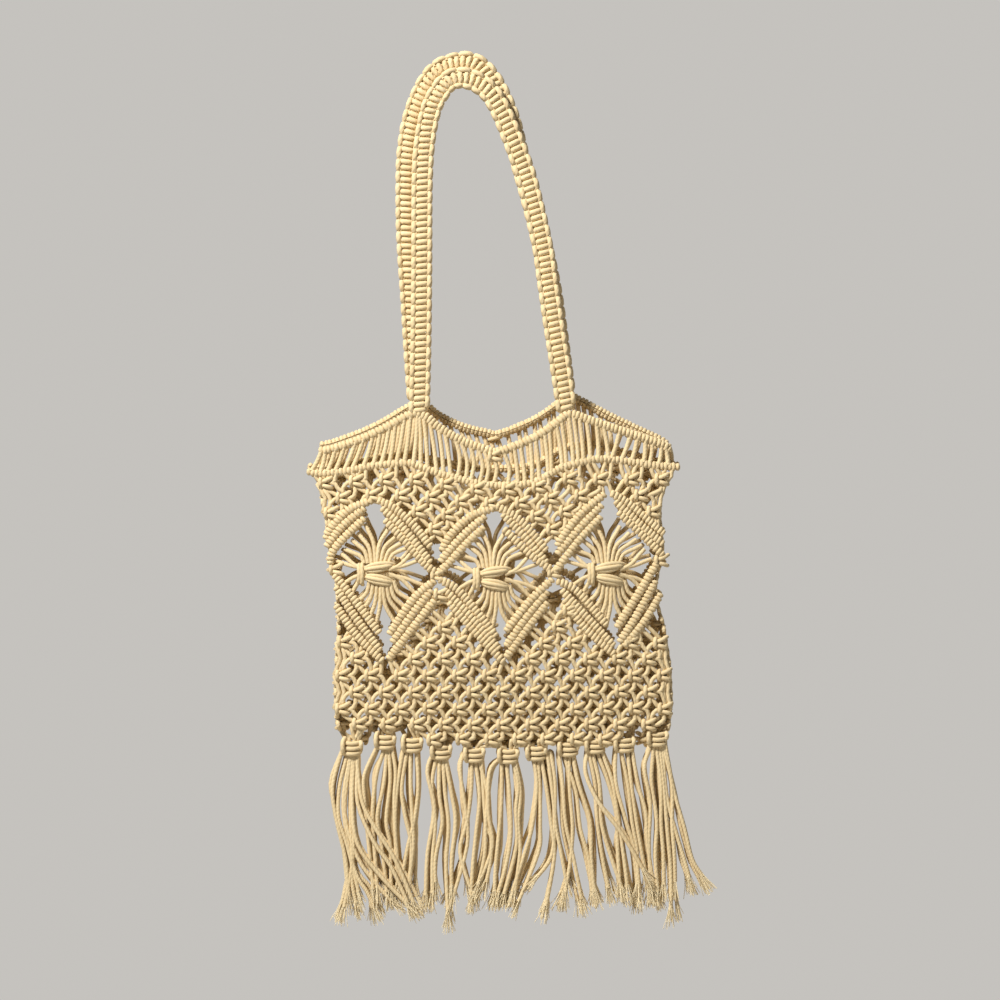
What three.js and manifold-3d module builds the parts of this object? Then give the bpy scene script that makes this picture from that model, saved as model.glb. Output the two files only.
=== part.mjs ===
// Macrame shoulder bag, hanging by its two handles. Millimetres, +Z up, front towards -Y.
// The origin is where the bag hangs: the underside of the front handle's loop.
import * as THREE from 'three';
import { mergeVertices } from 'three/addons/utils/BufferGeometryUtils.js';
import Module from 'manifold-3d';

// Cord work
const CORD = 3.5;
const WALL = 6.5;
const CLEARANCE = 0.3;
const NECK_RIDGE = 8;
const YOKE_RIDGE = 6.8;
const LEAF_RELIEF = 2.2;

// Bag
const BAG_WIDTH = 306;
const BAG_OFFSET = 27;
const YOKE_DOWN = 319;
const NECK_RISE = 48.3;
const NET_DROP = 226;
const BELLY = 26;
const BACK_LIFT = 15;

// Handles
const BAND_WIDTH = 17.5;
const BAND_THICK = 7.6;
const FRONT_LOOP_SPREAD = 122;
const BACK_LOOP_SPREAD = 125;
const BACK_LOOP_RISE = 14.5;

// Holes of the net and slots of the ladder, which stretch with the bag: widths as shares of
// half its width, heights as shares of the net's drop. The lip is left above and below a slot.
const MESH_HOLE = { width: 0.082, height: 0.0487 };
const SLIT = { width: 0.0425, height: 0.084 };
const LADDER_SLOT = 0.0686;
const LADDER_LIP = 1.6;

// Stars and tassels
const STAR_KNOT_WIDTH = 29;
const STAR_KNOT_HEIGHT = 19;
const STAR_KNOT_DEPTH = 11;
const TASSEL_WIDTH = 17;
const TASSEL_HEIGHT = 11;
const TASSEL_DEPTH = 14;
const FRINGE_LENGTH = 146;
const LOCK_WIDTH = 6.6;

const HALF_WIDTH = BAG_WIDTH / 2;
const FRONT = -1;
const BACK = 1;

// Side edges of the net: down as a share of NET_DROP, left and right as shares of HALF_WIDTH.
const OUTLINE = [
  { down: -0.08, left: 0.945, right: 0.955 },
  { down: 0.00, left: 1.000, right: 1.000 },
  { down: 0.05, left: 0.955, right: 0.950 },
  { down: 0.12, left: 0.945, right: 0.920 },
  { down: 0.21, left: 0.915, right: 0.925 },
  { down: 0.30, left: 0.905, right: 0.940 },
  { down: 0.36, left: 0.875, right: 0.915 },
  { down: 0.45, left: 0.865, right: 0.890 },
  { down: 0.56, left: 0.855, right: 0.940 },
  { down: 0.71, left: 0.870, right: 0.975 },
  { down: 0.85, left: 0.875, right: 0.985 },
  { down: 0.94, left: 0.860, right: 0.970 },
  { down: 1.00, left: 0.830, right: 0.960 },
];

// How far the two faces stand apart and how far the back one hangs higher, as shares.
const BELLY_DOWN = [
  { down: -0.25, belly: 0.55 },
  { down: 0.00, belly: 0.70 },
  { down: 0.35, belly: 1.00 },
  { down: 0.70, belly: 0.80 },
  { down: 0.95, belly: 0.12 },
  { down: 1.05, belly: 0.02 },
];
const LIFT_ACROSS = [
  { across: -1.0, lift: 0.30 },
  { across: -0.5, lift: 0.45 },
  { across: 0.0, lift: 1.00 },
  { across: 0.45, lift: 1.00 },
  { across: 0.65, lift: 0.60 },
  { across: 1.0, lift: 0.10 },
];

// Ridges: across as a share of HALF_WIDTH, rise over the yoke tips as a share of NECK_RISE.
const NECK_LINE = [
  { across: -0.935, rise: 0.36 },
  { across: -0.880, rise: 0.38 },
  { across: -0.727, rise: 0.55 },
  { across: -0.597, rise: 0.74 },
  { across: -0.466, rise: 0.96 },
  { across: -0.411, rise: 1.00 },
  { across: -0.357, rise: 0.93 },
  { across: -0.297, rise: 0.76 },
  { across: -0.166, rise: 0.52 },
  { across: -0.035, rise: 0.37 },
  { across: 0.010, rise: 0.33 },
  { across: 0.100, rise: 0.41 },
  { across: 0.232, rise: 0.60 },
  { across: 0.340, rise: 0.83 },
  { across: 0.385, rise: 0.95 },
  { across: 0.420, rise: 1.00 },
  { across: 0.493, rise: 0.92 },
  { across: 0.624, rise: 0.78 },
  { across: 0.749, rise: 0.64 },
  { across: 0.907, rise: 0.48 },
  { across: 0.951, rise: 0.38 },
];
const YOKE_LINE = [
  { across: -1.000, rise: 0.00 },
  { across: -0.940, rise: -0.03 },
  { across: -0.815, rise: 0.00 },
  { across: -0.640, rise: 0.10 },
  { across: -0.466, rise: 0.14 },
  { across: -0.384, rise: 0.07 },
  { across: -0.297, rise: -0.03 },
  { across: -0.210, rise: -0.10 },
  { across: -0.080, rise: -0.21 },
  { across: 0.050, rise: -0.24 },
  { across: 0.190, rise: -0.21 },
  { across: 0.275, rise: -0.10 },
  { across: 0.362, rise: 0.05 },
  { across: 0.450, rise: 0.14 },
  { across: 0.580, rise: 0.22 },
  { across: 0.750, rise: 0.17 },
  { across: 0.880, rise: 0.10 },
  { across: 1.000, rise: 0.08 },
];

// Slots between the ladder strands, leaning with them: shares of HALF_WIDTH at head and foot.
const LADDER_SLOTS = [
  { head: -0.79, foot: -0.86 },
  { head: -0.66, foot: -0.72 },
  { head: -0.54, foot: -0.585 },
  { head: -0.44, foot: -0.455 },
  { head: -0.34, foot: -0.315 },
  { head: -0.21, foot: -0.175 },
  { head: -0.08, foot: -0.06 },
  { head: 0.075, foot: 0.095 },
  { head: 0.20, foot: 0.23 },
  { head: 0.325, foot: 0.355 },
  { head: 0.45, foot: 0.475 },
  { head: 0.58, foot: 0.60 },
  { head: 0.76, foot: 0.72 },
];

// Corners of the three diamonds, across and down as shares of HALF_WIDTH and NET_DROP.
const DIAMONDS = [
  {
    name: 'left',
    middle: { across: -0.624, down: 0.369 },
    top: { across: -0.646, down: 0.103 },
    bottom: { across: -0.580, down: 0.694 },
    left: { across: -0.869, down: 0.362 },
    right: { across: -0.313, down: 0.376 },
  },
  {
    name: 'middle',
    middle: { across: 0.014, down: 0.373 },
    top: { across: 0.011, down: 0.129 },
    bottom: { across: 0.046, down: 0.694 },
    left: { across: -0.302, down: 0.380 },
    right: { across: 0.319, down: 0.376 },
  },
  {
    name: 'right',
    middle: { across: 0.624, down: 0.369 },
    top: { across: 0.624, down: 0.081 },
    bottom: { across: 0.659, down: 0.672 },
    left: { across: 0.335, down: 0.380 },
    right: { across: 0.907, down: 0.332 },
  },
];

// Window and leaf bars of a diamond, across and up as shares of its half diagonals.
const WINDOW = [
  { across: 0.00, up: 0.97 },
  { across: -0.13, up: 0.85 },
  { across: -0.17, up: 0.62 },
  { across: -0.84, up: 0.03 },
  { across: -0.84, up: -0.07 },
  { across: -0.09, up: -0.64 },
  { across: -0.06, up: -0.86 },
  { across: 0.00, up: -0.94 },
  { across: 0.07, up: -0.84 },
  { across: 0.10, up: -0.62 },
  { across: 0.86, up: -0.05 },
  { across: 0.86, up: 0.03 },
  { across: 0.16, up: 0.60 },
  { across: 0.12, up: 0.85 },
];
const UPPER_LEAF = [
  { across: 0.04, up: 1.02 },
  { across: 0.15, up: 0.60 },
  { across: 0.96, up: -0.01 },
  { across: 0.95, up: 0.41 },
];
const LOWER_LEAF = [
  { across: 0.93, up: -0.02 },
  { across: 0.08, up: -0.65 },
  { across: 0.01, up: -0.99 },
  { across: 0.82, up: -0.36 },
];
const LEAVES_OF_DIAMOND = [
  { corners: UPPER_LEAF, mirror: -1 },
  { corners: UPPER_LEAF, mirror: 1 },
  { corners: LOWER_LEAF, mirror: -1 },
  { corners: LOWER_LEAF, mirror: 1 },
];

// Strands that fan out of a star knot to the window's edge, in the same shares.
const STAR_STRANDS = [
  { across: -0.58, up: 0.22, root: -0.17 },
  { across: -0.28, up: 0.48, root: -0.08 },
  { across: 0.22, up: 0.52, root: 0.06 },
  { across: 0.56, up: 0.22, root: 0.17 },
  { across: -0.56, up: -0.24, root: -0.17 },
  { across: -0.22, up: -0.50, root: -0.07 },
  { across: 0.22, up: -0.50, root: 0.07 },
  { across: 0.58, up: -0.22, root: 0.17 },
];

// Rows of mesh holes: across shares of the first and last hole, down share, and their number.
const MESH_ROWS = [
  { down: 0.075, first: -0.89, last: -0.89, count: 1 },
  { down: 0.095, first: -0.44, last: -0.18, count: 3 },
  { down: 0.190, first: -0.38, last: -0.24, count: 2 },
  { down: 0.075, first: 0.30, last: 0.44, count: 2 },
  { down: 0.050, first: 0.82, last: 0.82, count: 1 },
  { down: 0.155, first: 0.27, last: 0.42, count: 2 },
  { down: 0.560, first: -0.28, last: -0.28, count: 1 },
  { down: 0.560, first: 0.37, last: 0.37, count: 1 },
  { down: 0.650, first: -0.36, last: -0.20, count: 2 },
  { down: 0.650, first: 0.29, last: 0.45, count: 2 },
  { down: 0.680, first: -0.77, last: -0.77, count: 1 },
  { down: 0.660, first: 0.87, last: 0.87, count: 1 },
  { down: 0.760, first: -0.68, last: 0.82, count: 7 },
  { down: 0.845, first: -0.555, last: 0.695, count: 6 },
  { down: 0.930, first: -0.68, last: 0.82, count: 7 },
];
const SLITS = [
  { across: -0.308, down: 0.300 },
  { across: -0.292, down: 0.465 },
  { across: 0.324, down: 0.295 },
  { across: 0.335, down: 0.455 },
];

// Centre lines of the handles: across as a share of the spread, down as a share of the drop.
const FRONT_LOOP = [
  { across: -0.283, down: 1.00 },
  { across: -0.272, down: 0.80 },
  { across: -0.266, down: 0.56 },
  { across: -0.264, down: 0.32 },
  { across: -0.247, down: 0.19 },
  { across: -0.205, down: 0.095 },
  { across: -0.150, down: 0.045 },
  { across: -0.080, down: 0.009 },
  { across: 0.007, down: 0.00 },
  { across: 0.110, down: 0.013 },
  { across: 0.200, down: 0.045 },
  { across: 0.268, down: 0.095 },
  { across: 0.318, down: 0.145 },
  { across: 0.380, down: 0.215 },
  { across: 0.451, down: 0.305 },
  { across: 0.548, down: 0.485 },
  { across: 0.590, down: 0.610 },
  { across: 0.640, down: 0.760 },
  { across: 0.690, down: 0.900 },
  { across: 0.722, down: 1.00 },
];
const BACK_LOOP = [
  { across: -0.290, down: 1.00 },
  { across: -0.310, down: 0.88 },
  { across: -0.337, down: 0.69 },
  { across: -0.364, down: 0.50 },
  { across: -0.366, down: 0.32 },
  { across: -0.352, down: 0.235 },
  { across: -0.322, down: 0.165 },
  { across: -0.276, down: 0.105 },
  { across: -0.215, down: 0.055 },
  { across: -0.130, down: 0.018 },
  { across: 0.007, down: 0.00 },
  { across: 0.110, down: 0.010 },
  { across: 0.190, down: 0.045 },
  { across: 0.255, down: 0.095 },
  { across: 0.327, down: 0.175 },
  { across: 0.394, down: 0.295 },
  { across: 0.493, down: 0.455 },
  { across: 0.592, down: 0.655 },
  { across: 0.645, down: 0.810 },
  { across: 0.700, down: 1.00 },
];

// Tassels: across and down of the head as shares of HALF_WIDTH and NET_DROP, then the ends of
// its three locks: across as a share of HALF_WIDTH, fall as a share of FRINGE_LENGTH.
const TASSELS = [
  { across: -0.771, down: 1.011, ends: [[-0.82, 0.96], [-0.738, 0.92], [-0.43, 0.88]], over: 2 },
  { across: -0.591, down: 0.989, ends: [[-0.673, 0.93], [-0.613, 0.94], [-0.559, 0.90]] },
  { across: -0.444, down: 1.000, ends: [[-0.504, 0.90], [-0.455, 0.90], [-0.406, 0.83]] },
  { across: -0.286, down: 1.026, ends: [[-0.357, 0.84], [-0.292, 0.87], [-0.235, 0.99]] },
  { across: -0.106, down: 1.037, ends: [[-0.183, 0.84], [-0.123, 0.87], [-0.066, 0.80]] },
  { across: 0.079, down: 1.041, ends: [[-0.012, 0.85], [0.042, 0.87], [0.098, 0.81]] },
  { across: 0.232, down: 1.030, ends: [[0.150, 0.90], [0.215, 0.86], [0.281, 0.91]] },
  { across: 0.406, down: 1.015, ends: [[0.379, 0.87], [0.455, 0.89], [0.531, 0.88]] },
  { across: 0.553, down: 1.004, ends: [[0.595, 0.87], [0.655, 0.88], [0.800, 0.76]], over: 2 },
  { across: 0.711, down: 1.000, ends: [[0.715, 0.89], [0.775, 0.90], [0.835, 0.86]] },
  { across: 0.891, down: 0.978, ends: [[0.900, 0.90], [0.965, 0.99], [1.120, 0.82]] },
];

// Section of a leaf bar: across as a share of its width, wall as a share of WALL from the
// middle of the face, up as a share of LEAF_RELIEF; its three tops are its three ridges.
const LEAF_SECTION = [
  { across: 0.00, wall: -0.2, up: 0.0 },
  { across: 1.00, wall: -0.2, up: 0.0 },
  { across: 0.95, wall: 0.5, up: 0.9 },
  { across: 0.66, wall: 0.5, up: 0.2 },
  { across: 0.50, wall: 0.5, up: 1.0 },
  { across: 0.34, wall: 0.5, up: 0.2 },
  { across: 0.05, wall: 0.5, up: 0.9 },
];

// Rows of OUTLINE that the net's sides follow: between the yoke and the corners of the hem.
const NET_SIDES_FROM = 0.03;
const NET_CORNERS = 0.9;

// A star's strands run on past the window's edge, which trims them, and are a little thicker
// than one cord, since each stands for a pair.
const STAR_REACH = 1.15;
const STRAND_WIDTH = 1.3 * CORD;
const STRAND_DEPTH = 1.2 * CORD;

// A handle leaves the middle for its face between these shares of its drop.
const HANDLE_LEAVES = { from: 0.25, to: 0.97 };
const HANDLE_STATIONS = 24;

// A lock of fringe: places down its fall where it bends, and how far across it is there.
const LOCK_KNEE = { fall: 0.3, across: 0.12, forward: 0.8, spread: 1.5 };
const LOCK_LOW = { fall: 0.65, across: 0.5 };
const LOCK_DEPTH = 1.3 * LOCK_WIDTH;
const OVER_LOCK_DEPTH = 0.8 * LOCK_WIDTH;
const OVER_LOCK_GAP = 2;
const TASSEL_PROFILE = [
  { radius: 0.00, height: -0.5 },
  { radius: 0.40, height: -0.5 },
  { radius: 0.50, height: 0.0 },
  { radius: 0.36, height: 0.5 },
  { radius: 0.00, height: 0.5 },
];

const COTTON = 0xe3c48f;
const COTTON_BACK = 0xd2b07c;

const RIDGE_SIDES = 6;
const RIDGE_STEPS = 22;

const wasm = await Module();
wasm.setup();

// Six times the volume inside closed triangles: negative where their faces point inwards.
function signedVolume(position, index) {
  const corners = [new THREE.Vector3(), new THREE.Vector3(), new THREE.Vector3()];
  let sum = 0;
  for (let place = 0; place < index.count; place += 3) {
    corners.forEach((corner, turn) => (
      corner.fromBufferAttribute(position, index.getX(place + turn))));
    sum += corners[0].dot(corners[1].clone().cross(corners[2]));
  }
  return sum;
}

// Solids from closed three.js geometries and back.
function solidOf(geometry) {
  const bare = geometry.clone();
  bare.deleteAttribute('normal');
  bare.deleteAttribute('uv');
  const merged = mergeVertices(bare, 1e-4);
  const triangles = new Uint32Array(merged.index.array);
  if (signedVolume(merged.attributes.position, merged.index) < 0) triangles.reverse();
  return new wasm.Manifold(new wasm.Mesh({
    numProp: 3,
    vertProperties: new Float32Array(merged.attributes.position.array),
    triVerts: triangles,
  }));
}

function geometryOf(solid) {
  const mesh = solid.getMesh();
  const geometry = new THREE.BufferGeometry();
  geometry.setAttribute('position', new THREE.BufferAttribute(mesh.vertProperties, 3));
  geometry.setIndex(new THREE.BufferAttribute(mesh.triVerts, 1));
  return geometry;
}

// The largest body of a solid: a cut along a ridge can leave a crumb with no volume.
function largestBody(solid) {
  return solid.decompose().sort((one, other) => other.volume() - one.volume())[0];
}

// Value of one column of a table at a place along another column.
function tableValue(table, placeColumn, place, column) {
  const after = table.findIndex((row) => row[placeColumn] > place);
  if (after === 0) return table[0][column];
  if (after < 0) return table[table.length - 1][column];
  const low = table[after - 1];
  const high = table[after];
  const share = (place - low[placeColumn]) / (high[placeColumn] - low[placeColumn]);
  return THREE.MathUtils.lerp(low[column], high[column], share);
}

// A point on the middle of a face; across and down are millimetres from the bag's centre line
// and from the yoke tips.
function facePoint(side, across, down) {
  const downShare = down / NET_DROP;
  const left = -tableValue(OUTLINE, 'down', downShare, 'left') * HALF_WIDTH;
  const right = tableValue(OUTLINE, 'down', downShare, 'right') * HALF_WIDTH;
  const inward = THREE.MathUtils.clamp((across - left) / (right - left), 0, 1);
  const belly = tableValue(BELLY_DOWN, 'down', downShare, 'belly') * BELLY / 2;
  const seam = Math.max(NECK_RIDGE, WALL) / 2 + CLEARANCE / 2;
  const lift = tableValue(LIFT_ACROSS, 'across', across / HALF_WIDTH, 'lift') * BACK_LIFT;
  const liftLeft = THREE.MathUtils.clamp(1 - downShare, 0, 1);
  return new THREE.Vector3(
    BAG_OFFSET + across,
    side * (seam + belly * Math.sin(Math.PI * inward) ** 0.7),
    -YOKE_DOWN - down + (side === BACK ? lift * liftLeft : 0),
  );
}

// Depth of the middle of a face behind a point of the front view.
function depthAt(side, x, z) {
  const across = x - BAG_OFFSET;
  const lift = tableValue(LIFT_ACROSS, 'across', across / HALF_WIDTH, 'lift') * BACK_LIFT;
  const drop = -YOKE_DOWN - z + (side === BACK ? lift : 0);
  const down = drop > 0 && side === BACK ? drop / (1 + lift / NET_DROP) : drop;
  return facePoint(side, across, down).y;
}

// A wall of a face, bent to its belly: an outline and holes of points on that face.
function faceWall(side, outline, holes) {
  const flat = (points) => points.map((point) => new THREE.Vector2(point.x, point.z));
  const shape = new THREE.Shape(flat(outline));
  for (const hole of holes) shape.holes.push(new THREE.Path(flat(hole)));
  const geometry = new THREE.ExtrudeGeometry(shape, { depth: WALL, bevelEnabled: false });
  geometry.rotateX(Math.PI / 2);
  geometry.translate(0, WALL / 2, 0);
  const position = geometry.attributes.position;
  for (let place = 0; place < position.count; place += 1) {
    const depth = depthAt(side, position.getX(place), position.getZ(place));
    position.setY(place, position.getY(place) + depth);
  }
  return solidOf(geometry);
}

function neckDown(across) {
  return -tableValue(NECK_LINE, 'across', across / HALF_WIDTH, 'rise') * NECK_RISE;
}

function yokeDown(across) {
  return -tableValue(YOKE_LINE, 'across', across / HALF_WIDTH, 'rise') * NECK_RISE;
}

// The smooth line of a ridge, moved down a face by an offset.
function ridgeCurve(side, line, offset) {
  const points = line.map((row) => (
    facePoint(side, row.across * HALF_WIDTH, offset - row.rise * NECK_RISE)));
  return new THREE.CatmullRomCurve3(points, false, 'centripetal');
}

// The net ends just above the tassel heads.
function hemPoints(side) {
  const lowest = OUTLINE[OUTLINE.length - 1];
  const above = TASSEL_HEIGHT / 2 + CLEARANCE;
  const hem = TASSELS.flatMap((row) => [-TASSEL_WIDTH / 2, TASSEL_WIDTH / 2].map((beside) => (
    facePoint(side, row.across * HALF_WIDTH + beside, row.down * NET_DROP - above))));
  const cornerDown = NET_CORNERS * NET_DROP;
  return [
    facePoint(side, -lowest.left * HALF_WIDTH, cornerDown),
    ...hem,
    facePoint(side, lowest.right * HALF_WIDTH, cornerDown),
  ];
}

// A point of a diamond from its shares across and up.
function diamondPoint(side, diamond, across, up) {
  const sideCorner = across < 0 ? diamond.left : diamond.right;
  const endCorner = up < 0 ? diamond.bottom : diamond.top;
  const middle = diamond.middle;
  const along = middle.across
    + Math.abs(across) * (sideCorner.across - middle.across)
    + Math.abs(up) * (endCorner.across - middle.across);
  const down = middle.down
    + Math.abs(across) * (sideCorner.down - middle.down)
    + Math.abs(up) * (endCorner.down - middle.down);
  return facePoint(side, along * HALF_WIDTH, down * NET_DROP);
}

function windowOutline(side, diamond) {
  return WINDOW.map((row) => diamondPoint(side, diamond, row.across, row.up));
}

// A prism through one face at a window, smaller than it by an inset.
function windowPrism(side, diamond, inset) {
  const outline = insetOutline(windowOutline(side, diamond), inset);
  const shape = new THREE.Shape(outline.map((point) => new THREE.Vector2(point.x, point.z)));
  const depth = BELLY + 3 * WALL;
  const geometry = new THREE.ExtrudeGeometry(shape, { depth, bevelEnabled: false });
  geometry.rotateX(Math.PI / 2);
  geometry.translate(0, side === FRONT ? 0 : depth, 0);
  return solidOf(geometry);
}

// The outline moved inwards by a distance, for what sits in a window.
function insetOutline(outline, distance) {
  const area = THREE.ShapeUtils.area(outline.map((point) => new THREE.Vector2(point.x, point.z)));
  const turn = Math.sign(area);
  return outline.map((point, place) => {
    const before = outline[(place + outline.length - 1) % outline.length];
    const after = outline[(place + 1) % outline.length];
    const arriving = new THREE.Vector2(point.x - before.x, point.z - before.z).normalize();
    const leaving = new THREE.Vector2(after.x - point.x, after.z - point.z).normalize();
    const bisector = new THREE.Vector2(
      -(arriving.y + leaving.y),
      arriving.x + leaving.x,
    ).normalize();
    const reach = turn * distance / Math.max(0.4, bisector.dot(
      new THREE.Vector2(-arriving.y, arriving.x),
    ));
    return new THREE.Vector3(
      point.x + bisector.x * reach,
      point.y,
      point.z + bisector.y * reach,
    );
  });
}

// A round cord or ridge along points.
function sweep(points, width, depth, sides, steps) {
  const shape = new THREE.Shape();
  for (let corner = 0; corner < sides; corner += 1) {
    const angle = (2 * Math.PI * (corner + 0.5)) / sides;
    const x = Math.cos(angle) * depth / 2;
    const y = Math.sin(angle) * width / 2;
    if (corner === 0) shape.moveTo(x, y);
    else shape.lineTo(x, y);
  }
  shape.closePath();
  const path = new THREE.CatmullRomCurve3(points, false, 'centripetal');
  return solidOf(new THREE.ExtrudeGeometry(shape, {
    steps,
    extrudePath: path,
    bevelEnabled: false,
  }));
}

// A ridge of a face, or with a clearance the room that it needs, rounded past its ends.
function ridge(side, line, width, clearance) {
  const points = line.map((row) => (
    facePoint(side, row.across * HALF_WIDTH, -row.rise * NECK_RISE)));
  const room = width + 2 * clearance;
  let solid = sweep(points, room, room, RIDGE_SIDES, RIDGE_STEPS);
  if (clearance > 0) {
    for (const end of [points[0], points[points.length - 1]]) {
      const ball = new THREE.SphereGeometry(room / 2, 8, 6);
      ball.translate(end.x, end.y, end.z);
      solid = solid.add(solidOf(ball));
    }
  }
  return solid;
}

function neckRidge(side, clearance) {
  return ridge(side, NECK_LINE, NECK_RIDGE, clearance);
}

function yokeRidge(side, clearance) {
  return ridge(side, YOKE_LINE, YOKE_RIDGE, clearance);
}

// The yoke: its ridge, and the row of bare strands that rise from it to the neck ridge, as
// bars with slots between them.
function yoke(side) {
  const outline = [
    ...ridgeCurve(side, NECK_LINE, NECK_RIDGE / 4).getSpacedPoints(RIDGE_STEPS),
    ...ridgeCurve(side, YOKE_LINE, 0).getSpacedPoints(RIDGE_STEPS).reverse(),
  ];
  const headPoint = (across) => (
    facePoint(side, across, neckDown(across) + NECK_RIDGE / 2 + LADDER_LIP));
  const footPoint = (across) => (
    facePoint(side, across, yokeDown(across) - YOKE_RIDGE / 2 - LADDER_LIP));
  const slots = LADDER_SLOTS.map((slot) => {
    const half = LADDER_SLOT / 2;
    return [
      headPoint((slot.head - half) * HALF_WIDTH),
      footPoint((slot.foot - half) * HALF_WIDTH),
      footPoint((slot.foot + half) * HALF_WIDTH),
      headPoint((slot.head + half) * HALF_WIDTH),
    ];
  });
  return largestBody(faceWall(side, outline, slots)
    .add(yokeRidge(side, 0))
    .subtract(neckRidge(side, CLEARANCE)));
}

// One leaf of a diamond: a raised bar with three ridges along it.
function leafBar(side, diamond, corners, mirror) {
  const [outerNear, innerNear, innerFar, outerFar] = corners;
  const positions = [];
  for (const [outer, inner] of [[outerNear, innerNear], [outerFar, innerFar]]) {
    for (const row of LEAF_SECTION) {
      const point = diamondPoint(
        side,
        diamond,
        mirror * THREE.MathUtils.lerp(outer.across, inner.across, row.across),
        THREE.MathUtils.lerp(outer.up, inner.up, row.across),
      );
      const proud = WALL * row.wall + LEAF_RELIEF * row.up;
      positions.push(point.x, point.y + side * proud, point.z);
    }
  }
  const ring = LEAF_SECTION.length;
  const index = [];
  for (let place = 0; place < ring; place += 1) {
    const next = (place + 1) % ring;
    index.push(place, ring + place, ring + next);
    index.push(place, ring + next, next);
  }
  const section = LEAF_SECTION.map((row) => new THREE.Vector2(row.across, row.wall + row.up));
  for (const [a, b, c] of THREE.ShapeUtils.triangulateShape(section, [])) {
    index.push(a, b, c);
    index.push(ring + a, ring + c, ring + b);
  }
  const geometry = new THREE.BufferGeometry();
  geometry.setAttribute('position', new THREE.Float32BufferAttribute(positions, 3));
  geometry.setIndex(index);
  return solidOf(geometry);
}

// A pointed hole of the net; its place and its size are shares of the face.
function pointedHole(side, acrossShare, downShare, size) {
  const across = acrossShare * HALF_WIDTH;
  const down = downShare * NET_DROP;
  const width = size.width * HALF_WIDTH;
  const height = size.height * NET_DROP;
  return [
    facePoint(side, across, down - height / 2),
    facePoint(side, across - width / 2, down),
    facePoint(side, across, down + height / 2),
    facePoint(side, across + width / 2, down),
  ];
}

// The open net of one face, with every gap cut through and the leaf bars raised.
function net(side) {
  const sideRows = OUTLINE.filter((row) => row.down > NET_SIDES_FROM && row.down < NET_CORNERS);
  const outline = [
    ...ridgeCurve(side, YOKE_LINE, YOKE_RIDGE / 4).getSpacedPoints(RIDGE_STEPS),
    ...sideRows.map((row) => facePoint(side, row.right * HALF_WIDTH, row.down * NET_DROP)),
    ...hemPoints(side).reverse(),
    ...sideRows.reverse().map((row) => (
      facePoint(side, -row.left * HALF_WIDTH, row.down * NET_DROP))),
  ];
  const gaps = DIAMONDS.map((diamond) => windowOutline(side, diamond));
  for (const slit of SLITS) {
    gaps.push(pointedHole(side, slit.across, slit.down, SLIT));
  }
  for (const row of MESH_ROWS) {
    for (let hole = 0; hole < row.count; hole += 1) {
      const share = row.count > 1 ? hole / (row.count - 1) : 0;
      const across = THREE.MathUtils.lerp(row.first, row.last, share);
      gaps.push(pointedHole(side, across, row.down, MESH_HOLE));
    }
  }
  let solid = faceWall(side, outline, gaps);
  for (const diamond of DIAMONDS) {
    const window = windowPrism(side, diamond, 0);
    for (const leaf of LEAVES_OF_DIAMOND) {
      solid = solid.add(leafBar(side, diamond, leaf.corners, leaf.mirror).subtract(window));
    }
  }
  return largestBody(solid.subtract(yokeRidge(side, CLEARANCE)));
}

// The collecting knot of a window with the strands that fan out of it.
function star(side, diamond) {
  const middle = diamondPoint(side, diamond, 0, 0);
  const ball = new THREE.SphereGeometry(0.5, 8, 5);
  ball.scale(STAR_KNOT_WIDTH, STAR_KNOT_DEPTH, STAR_KNOT_HEIGHT);
  ball.translate(middle.x, middle.y, middle.z);
  let solid = solidOf(ball);
  for (const strand of STAR_STRANDS) {
    const root = diamondPoint(side, diamond, strand.root, 0);
    const tip = diamondPoint(
      side, diamond, strand.across * STAR_REACH, strand.up * STAR_REACH);
    solid = solid.add(sweep([root, tip], STRAND_WIDTH, STRAND_DEPTH, 4, 1));
  }
  return solid.intersect(windowPrism(side, diamond, CLEARANCE));
}

// One handle: a flat knotted band laid along its loop, ending on the neck ridge.
function handle(side, loop, spread, rise) {
  const top = BAND_WIDTH / 2 + rise;
  const feet = [loop[0], loop[loop.length - 1]].map((row) => (
    facePoint(side, row.across * spread - BAG_OFFSET, -NECK_RISE)));
  const path = new THREE.CatmullRomCurve3(loop.map((row) => {
    const foot = row.across < 0 ? feet[0] : feet[1];
    return new THREE.Vector3(
      row.across * spread,
      0,
      THREE.MathUtils.lerp(top, foot.z + CLEARANCE, row.down),
    );
  }), false, 'centripetal');
  const outer = [];
  const inner = [];
  const bevel = BAND_THICK / 4;
  for (let station = 0; station <= HANDLE_STATIONS; station += 1) {
    const share = station / HANDLE_STATIONS;
    const point = path.getPointAt(share);
    const tangent = path.getTangentAt(share);
    const half = BAND_WIDTH / 2 - bevel;
    outer.push(new THREE.Vector2(point.x - tangent.z * half, point.z + tangent.x * half));
    inner.push(new THREE.Vector2(point.x + tangent.z * half, point.z - tangent.x * half));
  }
  const shape = new THREE.Shape([...outer, ...inner.reverse()]);
  const geometry = new THREE.ExtrudeGeometry(shape, {
    depth: BAND_THICK - 2 * bevel,
    bevelThickness: bevel,
    bevelSize: bevel,
    bevelSegments: 1,
  });
  geometry.rotateX(Math.PI / 2);
  geometry.translate(0, BAND_THICK / 2 - bevel, 0);
  const position = geometry.attributes.position;
  for (let place = 0; place < position.count; place += 1) {
    const foot = position.getX(place) < BAG_OFFSET ? feet[0] : feet[1];
    const blend = THREE.MathUtils.smoothstep(
      position.getZ(place) / foot.z, HANDLE_LEAVES.from, HANDLE_LEAVES.to);
    const middle = THREE.MathUtils.lerp(side * (BAND_THICK / 2 + CLEARANCE), foot.y, blend);
    position.setY(place, position.getY(place) + middle);
  }
  return solidOf(geometry).subtract(neckRidge(side, CLEARANCE));
}

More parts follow.
